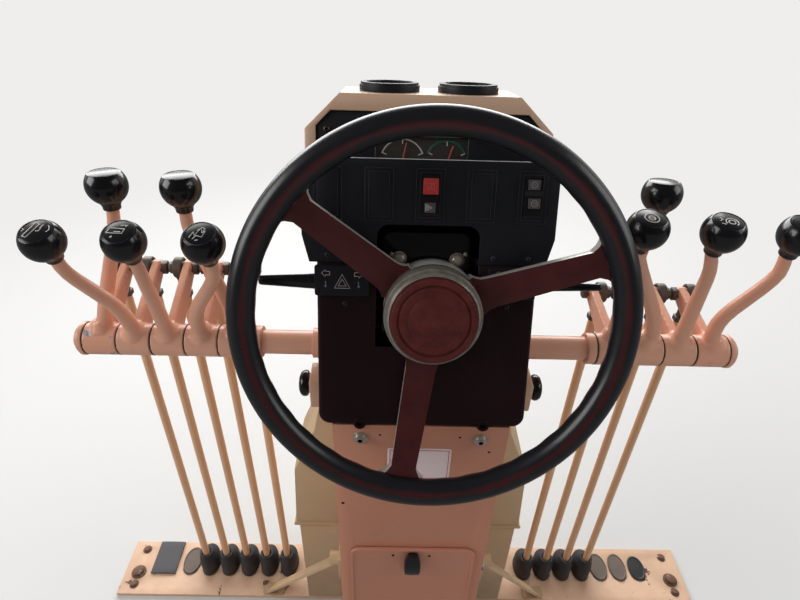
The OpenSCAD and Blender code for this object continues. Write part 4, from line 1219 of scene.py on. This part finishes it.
print("ball joint", len(joint_master.data.polygons), "faces")

# %% Make a stud with its nuts
stud_pieces = []
for name, low, high, radius, sides in (
    ("stud_head", -0.0140, -0.0056, 0.0098, 6), ("stud_washer", 0.0192, 0.0208, 0.0095, 32),
    ("stud_nut", 0.0208, 0.0262, 0.0090, 6), ("stud_end", 0.0262, 0.0290, 0.0050, 24),
):
    stud_pieces.append(prism(name, sides, radius, low, high, 0.0006))
    smoothed_by(30)
stud_master = put(joined("stud_set", stud_pieces), ACROSS)
print("stud", len(stud_master.data.polygons), "faces")

# %% Draw the rods and hang everything on the levers
ROD_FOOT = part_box("rod_1")[0][2]
ROD_R = 0.0070
for number in range(1, 10):
    side, _, stud_at = lever_place(number)
    rod_at = Matrix.Translation(stud_at + Vector((side * ROD_OFFSET, 0, 0)))
    drop = ROD_FOOT - stud_at.z
    tube = turned(f"rod_{number}_tube", [
        (0.0050, drop), (0.0064, drop + 0.001), (ROD_R, drop + 0.004), (ROD_R, -0.0505),
        (0.0064, -0.0488), (0.0060, -0.0475),
    ], 28)
    put(tube, rod_at)
    settle(tube, f"control_rod_{number}", "tan_paint", rod_paint)
    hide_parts(f"rod_{number}")
    end = copy_of(joint_master, f"rod_{number}_joint", rod_at)
    settle(end, f"control_rod_{number}", "bare_steel", dark_steel)
    stud_turn = Matrix.Identity(4) if side > 0 else Matrix.Rotation(math.pi, 4, "Z")
    stud = copy_of(stud_master, f"lever_{number}_stud", Matrix.Translation(stud_at) @ stud_turn)
    settle(stud, f"hand_lever_{number}", "bare_steel", dark_steel)
scrap(joint_master, stud_master)
print("rods hang", round(drop, 3), "m below their studs")

# %% [markdown]
# Seals between the hubs
# A thin rubber ring fills the seam between each hub and the next, and shows as a
# dark line. One ring is turned and copied along the shaft.

# %% Fit the seals
seal_master = turned("seal_master", [
    (0.0196, -0.0009), (0.0208, -0.0009), (0.0214, -0.0005), (0.0216, 0.0), (0.0214, 0.0005),
    (0.0208, 0.0009), (0.0196, 0.0009), (0.0196, -0.0009),
], 56, close=(False, False))
put(seal_master, ACROSS)
rings = []
for side, hubs in ((-1, 5), (1, 4)):
    for k in range(hubs + 1):
        seam = side * (BANK_START + k * HUB_PITCH - 0.0003)
        rings.append(copy_of(seal_master, f"seal_{side}_{k}", Matrix.Translation((seam, SHAFT_Y, SHAFT_Z))))
scrap(seal_master)
seals = joined("hub_seals", rings)
settle(seals, "console", "boot_rubber", seal_rubber)
print("seals", len(seals.data.polygons), "faces")

# %% [markdown]
# Boots and plugs
# A boot is a soft bell of rubber that keeps dust out where a rod goes through
# the floor. The rods swing a little fore and aft, so the floor's holes are
# slots and a boot is oval: a round bell is turned, then drawn out backwards low
# down. Stations that this machine doesn't use are closed with oval plugs.

# %% Turn a boot
PLATE_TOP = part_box("floor_plate")[1][2]
OVAL = 0.62


def on_strip(x, y=0.0):
    return Matrix.Translation((x, y, PLATE_TOP))


def drawn_back(piece, reach, top):
    for vertex in piece.data.vertices:
        low = 1.0 - min(1.0, max(0.0, vertex.co.z / top)) ** 2.5
        vertex.co.y = vertex.co.y * (1.0 + OVAL * low) + reach * low


boot_master = turned("boot_master", [
    (0.0140, 0.0005), (0.0190, 0.0003), (0.0197, 0.0022), (0.0194, 0.0060), (0.0184, 0.0082),
    (0.0188, 0.0140), (0.0192, 0.0220), (0.0191, 0.0300), (0.0186, 0.0370), (0.0176, 0.0430),
    (0.0160, 0.0485), (0.0142, 0.0530), (0.0130, 0.0560), (0.0131, 0.0580), (0.0137, 0.0595),
    (0.0136, 0.0615), (0.0126, 0.0625), (0.0108, 0.0626), (0.0093, 0.0620), (0.0110, 0.0560),
    (0.0134, 0.0460), (0.0150, 0.0360), (0.0150, 0.0250), (0.0140, 0.0005),
], 48, close=(False, False))
drawn_back(boot_master, 0.012, 0.062)
bpy.ops.object.shade_smooth()
boots = []
for number in range(1, 10):
    side, _, stud_at = lever_place(number)
    boots.append(copy_of(boot_master, f"boot_{number}", on_strip(stud_at.x + side * ROD_OFFSET)))
scrap(boot_master)
boot_row = joined("rod_boots_soft", boots)
settle(boot_row, "console", "boot_rubber")
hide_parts("rod_boots")
print("boots", len(boot_row.data.polygons), "faces")

# %% Close the spare stations
plug_master = turned("plug_master", [
    (0.0150, 0.0), (0.0190, 0.0002), (0.0196, 0.0018), (0.0190, 0.0034), (0.0176, 0.0040),
    (0.0168, 0.0034), (0.0158, 0.0028), (0.0060, 0.0031), (0.0010, 0.0032),
], 48)
drawn_back(plug_master, 0.015, 1.0)


def station_x(side, station):
    return side * (BANK_START + (station + 0.5) * HUB_PITCH + ROD_OFFSET)


plugs = []
for side, station in ((-1, 5), (1, 4), (1, 5)):
    plugs.append(copy_of(plug_master, f"plug_{side}_{station}", on_strip(station_x(side, station))))
plug_row = joined("hole_plugs_soft", plugs)
settle(plug_row, "console", "boot_rubber", finish(
    "plug_rubber", (0.150, 0.110, 0.085), (0.095, 0.072, 0.058), 0.6, 40.0, 0.8, 500.0, 0.3, 0.0004,
))
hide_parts("hole_plugs")
grommet = copy_of(plug_master, "open_station_grommet", on_strip(station_x(1, 6)) @ sized(0.95, 0.9, 0.8))
settle(grommet, "console", "boot_rubber", finish(
    "grommet_rubber", (0.008, 0.008, 0.009), (0.016, 0.015, 0.016), 0.5, 40.0, 0.8, 500.0, 0.3, 0.0004,
))
scrap(plug_master)
print("plugs", len(plug_row.data.polygons), "faces")

# %% Lay the rubber pad
PAD_DEEP, PAD_THICK, PAD_Y, PAD_SAG = 0.074, 0.0050, 0.021, 0.0012
pad_left, pad_right = (corner[0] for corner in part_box("floor_pad"))
pad_wide = 0.92 * (pad_right - pad_left)
rubber_pad = block("floor_pad_rubber", pad_wide, PAD_DEEP, -PAD_THICK / 2, PAD_THICK / 2)
edited(rubber_pad, bpy.ops.mesh.subdivide, number_cuts=5)
for vertex in rubber_pad.data.vertices:
    if vertex.co.z > 0:
        vertex.co.z -= PAD_SAG * (vertex.co.x / 0.027) ** 2
rounded(rubber_pad, 0.0016)
pad_x = (pad_left + pad_right) / 2 - 0.003
put(rubber_pad, on_strip(pad_x, PAD_Y) @ Matrix.Translation((0, 0, PAD_THICK / 2 + 0.0001)))
settle(rubber_pad, "console", "boot_rubber", finish(
    "pad_rubber", (0.055, 0.052, 0.058), (0.085, 0.078, 0.082), 0.6, 30.0, 0.8, 500.0, 0.3, 0.0005,
))
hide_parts("floor_pad")
print("pad", len(rubber_pad.data.polygons), "faces")

# %% [markdown]
# Instruments
# Two dials sit behind one pane. A real dial is a printed disc with a thin
# pointer above it. The scale is drawn as lines, one white and one green, and the
# pointers are slim tapers in orange.

# %% Print the dials
INSTRUMENT_H, BEZEL_BACK_H = -0.115, -0.123
WINDOW_LEFT, WINDOW_RIGHT, WINDOW_FOOT, WINDOW_HEAD = -0.062, 0.046, 0.158, 0.187
PLATE_EDGE, PLATE_THICK = 0.006, 0.002
SCALE_LIFT, TICK_LIFT, POINTER_LIFT = 0.0006, 0.0003, 0.0020
TICK_START, TICK_END, PIVOT_S = 0.0055, 0.0005, 0.160
DIALS = (
    # scale's x, s, radius, rest angle, line width and ink, pointer's x, turn and length
    (-0.0303, 0.1585, 0.0256, 21, 0.0016, white_print, -0.0300, 78, 0.0205),
    (0.0216, 0.1590, 0.0240, 24, 0.0036, green_print, 0.0230, 72, 0.0185),
)


def polar(radius, degrees):
    return radius * math.cos(math.radians(degrees)), radius * math.sin(math.radians(degrees))


dial_plate = block(
    "dial_plate", WINDOW_RIGHT - WINDOW_LEFT + PLATE_EDGE, WINDOW_HEAD - WINDOW_FOOT + PLATE_EDGE,
    -PLATE_THICK / 2, PLATE_THICK / 2,
)
edited(dial_plate, bpy.ops.mesh.bevel, offset=0.0004, segments=2, affect="EDGES")
middle = ((WINDOW_LEFT + WINDOW_RIGHT) / 2, (WINDOW_FOOT + WINDOW_HEAD) / 2)
put(dial_plate, on_console(*middle, BEZEL_BACK_H - PLATE_THICK / 2))
settle(dial_plate, "console", "dial_face")
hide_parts("gauge_dials")
for number, (x, s, radius, first, width, colour, pointer_x, turn, long) in enumerate(DIALS, 1):
    at = on_console(x, s, BEZEL_BACK_H + SCALE_LIFT)
    flattened = Matrix.Diagonal((1, 1, 0.3, 1))
    scale = drawn(f"dial_{number}_scale", [arc(radius, first, 180 - first, 40)], width, flattened)
    settle(put(scale, at), "console", "dial_face", colour)
    ends = (radius - TICK_START, radius - TICK_END)
    ticks = [[polar(end, degrees) for end in ends] for degrees in (first + 2, 90, 178 - first)]
    marks = drawn(f"dial_{number}_ticks", ticks, 0.0013, at @ Matrix.Translation((0, 0, TICK_LIFT)))
    settle(marks, "console", "dial_face", white_print)
    pointer = turned(f"dial_{number}_pointer", [(0.00085, 0.001), (0.0008, 0.006), (0.0006, long)], 8)
    pivot = on_console(pointer_x, PIVOT_S, BEZEL_BACK_H + POINTER_LIFT)
    put(pointer, pivot @ Matrix.Rotation(math.radians(turn), 4, "Z") @ ACROSS)
    settle(pointer, "console", "dial_face", orange_needle)
print("dials at", [row[0] for row in DIALS])

# %% Frame the pane
frame_line = [
    (WINDOW_LEFT, WINDOW_FOOT), (WINDOW_LEFT, WINDOW_HEAD), (WINDOW_RIGHT, WINDOW_HEAD),
    (WINDOW_RIGHT, WINDOW_FOOT),
]
rim_line = drawn("window_rim", [frame_line], 0.0012, on_console(0, 0, INSTRUMENT_H - 0.0032), closed=(0,))
window_ink = ink("window_rim", (0.085, 0.10, 0.085), (0.05, 0.06, 0.05), 0.4, 60.0, 0.5)
settle(rim_line, "console", "black_plastic", window_ink)
print("window rim", len(rim_line.data.polygons), "faces")

# %% Paint a highlight on the panel's top edge
EDGE_FROM_S, EDGE_FROM_H, EDGE_FACING = 0.1600, -0.060, 0.35
panel = bpy.data.objects["switch_panel_dressed"]
# The faces along the panel's top edge that look up the plane get a pale ink: a painted highlight where the
# light from ahead catches the edge.
painted_edge_highlight = ink("painted_edge_highlight", (0.62, 0.61, 0.60), (0.40, 0.39, 0.39), 0.35, 120.0, 0.9)
panel.data.materials.append(painted_edge_highlight)
along = (wheel_frame.to_3x3() @ Vector((0, 1, 0))).normalized()
for face in panel.data.polygons:
    near = to_wheel @ face.center
    if near.y > EDGE_FROM_S and near.z > EDGE_FROM_H and face.normal.dot(along) > EDGE_FACING:
        face.material_index = 1
print("panel edge polished")

# %% [markdown]
# Rocker switches
# Five openings share one frame. Three hold blanks. Two hold rockers, whose face
# is a shallow vee with a coloured lens in its upper half. Frame, blank and
# rocker are each modelled once.

# %% Model a switch frame and a blank
SWITCH_S, SWITCH_PITCH = 0.1255, 0.055


def sunk(piece, low_height, steps):
    for face in piece.data.polygons:
        face.select = face.center.z > low_height and face.normal.z > 0.95 and face.area > 0.00002
    bpy.ops.object.mode_set(mode="EDIT")
    for thickness, depth in steps:
        bpy.ops.mesh.inset(thickness=thickness, depth=depth)
    bpy.ops.object.mode_set(mode="OBJECT")
    return piece


frame_master = block("frame_master", 0.0308, 0.0560, -0.001, 0.0013)
sunk(frame_master, 0.0010, ((0.0030, 0.0), (0.0004, -0.0012), (0.0008, 0.0), (0.0003, -0.0002)))
rounded(frame_master, 0.0003, 2, 30)
blank_master = block("blank_master", 0.0222, 0.0480, -0.001, 0.0016)
sunk(blank_master, 0.0013, ((0.0012, 0.0), (0.0004, -0.0005)))
rounded(blank_master, 0.0004, 2, 30)
print("frame", len(frame_master.data.polygons), "blank", len(blank_master.data.polygons))

# %% Model a rocker
ROCKER_REACH, ROCKER_TILT = 0.0205, 0.0014
VEE_Y, VEE_WIDE, VEE_DEEP = 0.0015, 0.0025, 0.0020
rocker_master = block("rocker_master", 0.0186, 0.0420, 0.0, 0.0050)
edited(rocker_master, bpy.ops.mesh.subdivide, number_cuts=15)
for vertex in rocker_master.data.vertices:
    if vertex.co.z > 0.003:
        fall = VEE_DEEP * math.exp(-((vertex.co.y - VEE_Y) / VEE_WIDE) ** 2)
        vertex.co.z += ROCKER_TILT * vertex.co.y / ROCKER_REACH - fall
rounded(rocker_master, 0.0007, 3, 50)
lens_master = block("lens_master", 0.0176, 0.0186, 0.0, 0.0030)
sunk(lens_master, 0.0020, ((0.0030, 0.0), (0.0006, -0.0006)))
rounded(lens_master, 0.0009, 3, 30)
print("rocker", len(rocker_master.data.polygons), "lens", len(lens_master.data.polygons))

# %% Fit the switches
frames, blanks = [], []
for k in range(-2, 3):
    at = on_console(k * SWITCH_PITCH, SWITCH_S, PANEL_H)
    frames.append(copy_of(frame_master, f"frame_{k}", at))
    if k in (-2, -1, 1):
        blanks.append(copy_of(blank_master, f"blank_{k}", at))
switch_frames = settle(joined("switch_frames", frames), "console", "black_plastic")
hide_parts("switch_rockers")
settle(joined("switch_blanks", blanks), "console", "black_plastic")

for name, x in (("hazard_rocker", 0), ("lamp_rocker", 2 * SWITCH_PITCH)):
    settle(copy_of(rocker_master, name, on_console(x, SWITCH_S, PANEL_H)), "console", "gloss_black")
smoked_window = ink("smoked_window", (0.062, 0.052, 0.055), (0.100, 0.084, 0.086), 0.3, 160.0, 1.0)
LENSES = (
    # name, x, distance above the switch's middle, height over the panel, size, finish
    ("hazard_lens", 0.0002, 0.0100, 0.0040, (1, 1, 1), red_lens),
    ("lamp_lens_upper", 0.1097, 0.0140, 0.0050, (0.78, 0.62, 0.9), smoked_window),
    ("lamp_lens_lower", 0.1113, -0.0057, 0.0038, (0.78, 0.62, 0.9), smoked_window),
    ("hazard_lower", 0.0, -0.0128, 0.0028, (0.72, 0.62, 0.9), smoked_window),
)
for name, x, above, height, size, material in LENSES:
    lens = copy_of(lens_master, name, on_console(x, SWITCH_S + above, PANEL_H + height) @ sized(*size))
    settle(lens, "console", "gloss_black", material)
scrap(frame_master, blank_master, rocker_master, lens_master)
print("switches", SWITCH_PITCH, "m apart")

# %% Print the switch signs
def sign_on(name, lines, x, s, h, material, width=0.0007, closed=()):
    sign = drawn(name, [scaled(line) for line in lines], width, on_console(x, s, h), closed)
    return settle(sign, "console", "black_plastic", material)


sign_on("hazard_lens_sign", [[(-3.5, -3), (-3.5, 3), (3.5, 3), (3.5, -3)], arrow(-1.5, 0, 3, 0)[1]],
        0.0002, SWITCH_S + 0.0100, PANEL_H + 0.0062, pink_print, 0.0008, (0,))
sign_on("hazard_rocker_sign", [[(-4, 3.4), (3.0, 0), (-4, -3.4)], [(-2.8, 1.4), (-0.2, 0), (-2.8, -1.4)]],
        -0.0006, SWITCH_S - 0.0128, PANEL_H + 0.0050, white_print, 0.0009, (0, 1))
for name, x, shift, lift in (("upper", 0.1097, 0.0140, 0.0072), ("lower", 0.1113, -0.0057, 0.0060)):
    sign_on(f"lamp_sign_{name}", [arc(3.2, 0, 360, 18), [(-1.5, -1), (0, 1.5), (1.5, -1)]],
            x, SWITCH_S + shift, PANEL_H + lift, grey_print, 0.0010)
# The thin grey outlines round each switch frame are painted highlights along the frames' edges.
frame_edge_highlight = ink("frame_edge_highlight", (0.050, 0.051, 0.056), (0.030, 0.031, 0.034), 0.4, 200.0, 1.0)
outlines = [[(-x, -y), (-x, y), (x, y), (x, -y)] for x, y in ((15.2, 27.8), (10.9, 23.8))]
for k in range(-2, 3):
    at = (k * SWITCH_PITCH, SWITCH_S, PANEL_H + 0.0012)
    sign_on(f"frame_line_{k + 3}", outlines, *at, frame_edge_highlight, 0.0005, (0, 1))
print("switch signs printed")

# %% [markdown]
# The dark recess
# Behind the column's bracket the panel stands open, and the eye should meet
# black there. A thin plate lines it.

# %% Line the recess behind the bracket
LINING_WIDE, LINING_TALL, LINING_S, LINING_H = 0.208, 0.128, 0.088, -0.1149
lining = block("recess_lining", LINING_WIDE, LINING_TALL, 0.0, 0.0008)
rounded(lining, 0.0003, 2, 30)
put(lining, on_console(0, LINING_S, LINING_H))
settle(lining, "console", "black_plastic")
print("lining", len(lining.data.polygons), "faces")

# %% [markdown]
# Signal boxes
# Two flat boxes carry the stalks. The left one is marked with turn arrows and
# the warning triangle, each in a single thin line.

# %% Mark the left box
BOX_TOP = -0.051
arrow_left = [(-5, 0), (-1, 4), (-1, 2), (4, 2), (4, -2), (-1, -2), (-1, -4)]
arrow_right = [(-x, y) for x, y in arrow_left]
small_down = [[(0, 4), (0, -3)], [(-1.3, -1), (0, -3), (1.3, -1)]]
outer, inner = [(-8.6, -6.8), (0, 8.8), (8.6, -6.8)], [(-4.4, -4.2), (0, 3.6), (4.4, -4.2)]
sign_on("turn_arrows", [arrow_left], -0.1119, 0.0385, BOX_TOP, pale_print, 0.0009, (0,))
sign_on("turn_arrows_right", [arrow_right], -0.0765, 0.0375, BOX_TOP, pale_print, 0.0009, (0,))
sign_on("warning_triangle", [outer, inner], -0.0942, 0.0285, BOX_TOP, pale_print, 0.0011, (0, 1))
sign_on("arrow_down_left", small_down, -0.1126, 0.0255, BOX_TOP, grey_print, 0.0009)
sign_on("arrow_down_right", small_down, -0.0760, 0.0255, BOX_TOP, grey_print, 0.0009)
sign_on("right_box_sign", [arc(3.5, 0, 360, 18), [(5, 1.5), (9, 1.5)], [(5, -1.5), (9, -1.5)]],
        0.0790, 0.0405, BOX_TOP, pink_print, 0.0008)
print("signal boxes marked")

# %% [markdown]
# The label plate
# A pale plate with a thin red line round it is stuck flat on the pedestal. The
# plate is the CAD's own, and the line is drawn and laid on it.

# %% Stick the label plate on
LABEL_Y, LABEL_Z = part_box("info_plate")[0][1], 0.645
soften("info_plate", 0.0003, 2)
facing = Matrix.Translation((CONSOLE_X, LABEL_Y, LABEL_Z)) @ TO_SEAT
border = [(-37, -27), (37, -27), (37, 27), (-37, 27)]
red_line = drawn("label_border", [scaled(border)], 0.0011, facing, closed=(0,))
settle(red_line, "console", "label_plate", red_print)
print("plate face at y", round(LABEL_Y, 4))

# %% [markdown]
# Screws, nuts and marks
# Small hardware tells the eye how big a thing is. A button head is a low dome
# with a socket, a washer lies under it, and old holes are left where something
# was taken off. The dome is modelled once and scaled for its place.

# %% Turn a button head
button_master = turned("button_master", [
    (1.22, 0.0), (1.25, 0.05), (1.22, 0.14), (1.02, 0.16), (1.0, 0.22), (0.96, 0.46), (0.80, 0.68),
    (0.56, 0.80), (0.40, 0.83), (0.38, 0.70), (0.37, 0.45), (0.05, 0.42),
], 36)
SOCKET_R, SOCKET_TOP = 0.385, 0.8


def button(name, radius, place, material):
    piece = copy_of(button_master, name, place @ sized(radius))
    settle(piece, "console", "bare_steel", material)
    # The socket is painted near black: painted shade.
    piece.data.materials.append(hole_shade)
    for face, source in zip(piece.data.polygons, button_master.data.polygons):
        if source.center.xy.length < SOCKET_R and source.center.z < SOCKET_TOP:
            face.material_index = 1
    return piece


nut_master = turned("nut_master", [
    (1.10, 0.0), (1.14, 0.06), (1.10, 0.16), (0.98, 0.18), (0.99, 0.42), (0.92, 0.68), (0.74, 0.90),
    (0.48, 1.02), (0.20, 1.06), (0.02, 1.07),
], 36)
chrome = finish(
    "worn_chrome", (0.60, 0.53, 0.46), (0.26, 0.20, 0.16), 0.30, 110.0, 1.0, 900.0, 0.1, 0.0003,
    metallic=0.45,
)
black_screw = finish(
    "black_screw", (0.020, 0.018, 0.020), (0.040, 0.032, 0.032), 0.4, 90.0, 0.7, 700.0, 0.2, 0.0002,
)
bronze = finish(
    "bronze_screw", (0.10, 0.075, 0.055), (0.05, 0.035, 0.03), 0.35, 90.0, 0.9, 700.0, 0.2, 0.0003,
    metallic=0.7,
)
print("button and nut turned")

# %% Set the heads and nuts
PANEL_SCREWS = ((0.111, 0.0585), (0.072, 0.0585), (0.0915, 0.003))
BRACKET_NUTS = (
    # x, s and size
    (-0.0372, 0.0511, 0.0076), (0.0292, 0.0504, 0.0078), (-0.0462, 0.0559, 0.0022), (0.0387, 0.0575, 0.0024),
)
BRACE_BOLT = (0.1040, -0.2000, 0.3820)
for side in (-1, 1):
    face_at = Matrix.Translation((CONSOLE_X + side * 0.0735, PEDESTAL_Y, 0.693)) @ TO_SEAT
    button(f"pedestal_button_{side}", 0.0078, face_at, chrome)
    button(f"bezel_button_{side}", 0.0037, on_console(side * 0.118, 0.193, -0.118), bronze)
    for number, (x, s) in enumerate(PANEL_SCREWS, 1):
        at = on_console(side * x, s, PANEL_H)
        button(f"panel_screw_{side}_{number}", 0.0024, at, black_screw)
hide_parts("fasteners")
for number, (x, s, size) in enumerate(BRACKET_NUTS, 1):
    nut = copy_of(nut_master, f"bracket_nut_{number}", spot(x, s, -0.081) @ sized(size))
    settle(nut, "console", "bare_steel", chrome)
button("brace_bolt", 0.0062, Matrix.Translation(BRACE_BOLT) @ TO_SEAT, chrome)
scrap(button_master, nut_master)

# %% Leave the small holes and marks
OLD_HOLES = (
    # name, x, z and radius
    ("left", -0.0555, 0.698, 0.0015), ("right", 0.0422, 0.696, 0.0015), ("dash", 0.0807, 0.670, 0.0016),
    ("edge", -0.1050, 0.561, 0.0022), ("latch_left", -0.0349, 0.4413, 0.0021),
    ("latch_right", 0.0188, 0.4410, 0.0021),
)
# Each old hole is a thin disc painted near black: a painted shade for the hole.
hole_master = turned("hole_master", [(1.0, 0.0), (1.0, 0.10), (0.9, 0.16), (0.1, 0.16)], 20)
for name, x, z, radius in OLD_HOLES:
    body, face_y = ("door", DOOR_FACE + 0.0009) if name.startswith("latch") else ("console", PEDESTAL_Y)
    wall = Matrix.Translation((x, face_y, z)) @ TO_SEAT
    mark = copy_of(hole_master, f"old_hole_{name}", wall @ sized(radius, radius, 0.0012))
    settle(mark, body, "tan_paint", hole_shade)
scrap(hole_master)
print("old holes", len(OLD_HOLES))

# %% Turn the shroud's two lugs
LUG_X, LUG_S, LUG_HOLE_R = 0.0740, -0.1455, 0.0036
for side in (-1, 1):
    lug = turned(f"shroud_lug_{side}", [
        (0.0072, -0.004), (0.0075, 0.0), (0.0068, 0.0010), (0.0040, 0.0012), (0.0034, -0.0008),
        (0.0004, -0.0009),
    ], 32)
    hole_faces = [f for f in lug.data.polygons if f.center.xy.length < LUG_HOLE_R and f.center.z > -0.003]
    hole_numbers = [face.index for face in hole_faces]
    put(lug, on_console(side * LUG_X, LUG_S, PANEL_H - 0.0002))
    settle(lug, "console", "black_plastic", shroud_black_red_reflection)
    # The lug's hole is painted near black: painted shade.
    lug.data.materials.append(hole_shade)
    for number in hole_numbers:
        lug.data.polygons[number].material_index = 1
print("lugs", 2 * LUG_X, "m apart")

# %% Bolt the strip down
BOLT_X, BIG_BOLT_Y, SMALL_BOLT_Y = 0.590, -0.013, 0.040
HEX_BOLT_AT = (-0.307, -0.034)
for name, side in (("left", -1), ("right", 1)):
    big_bolt = turned(f"floor_bolt_{name}", [
        (0.0150, 0.0), (0.0153, 0.0012), (0.0148, 0.0024), (0.0112, 0.0026), (0.0110, 0.0060),
        (0.0100, 0.0088), (0.0070, 0.0104), (0.0010, 0.0108),
    ], 40)
    put(big_bolt, on_strip(side * BOLT_X, BIG_BOLT_Y))
    settle(big_bolt, "console", "bare_steel", rusty_bolt)
strip_bolts = []
for x in (-BOLT_X, BOLT_X):
    for y in (-SMALL_BOLT_Y, SMALL_BOLT_Y):
        bolt = turned(f"strip_bolt_{len(strip_bolts)}", [
            (0.0095, -0.001), (0.0096, 0.0006), (0.0085, 0.0014), (0.0060, 0.0016), (0.0058, 0.0040),
            (0.0046, 0.0052), (0.0008, 0.0055),
        ], 24)
        strip_bolts.append(put(bolt, on_strip(x, y)))
settle(joined("strip_bolts", strip_bolts), "console", "bare_steel", rusty_bolt)
small_bolt = put(prism("floor_bolt_small", 6, 0.0062, 0.0, 0.005, 0.0008), on_strip(*HEX_BOLT_AT))
settle(small_bolt, "console", "bare_steel", rusty_bolt)
print("floor bolts set")
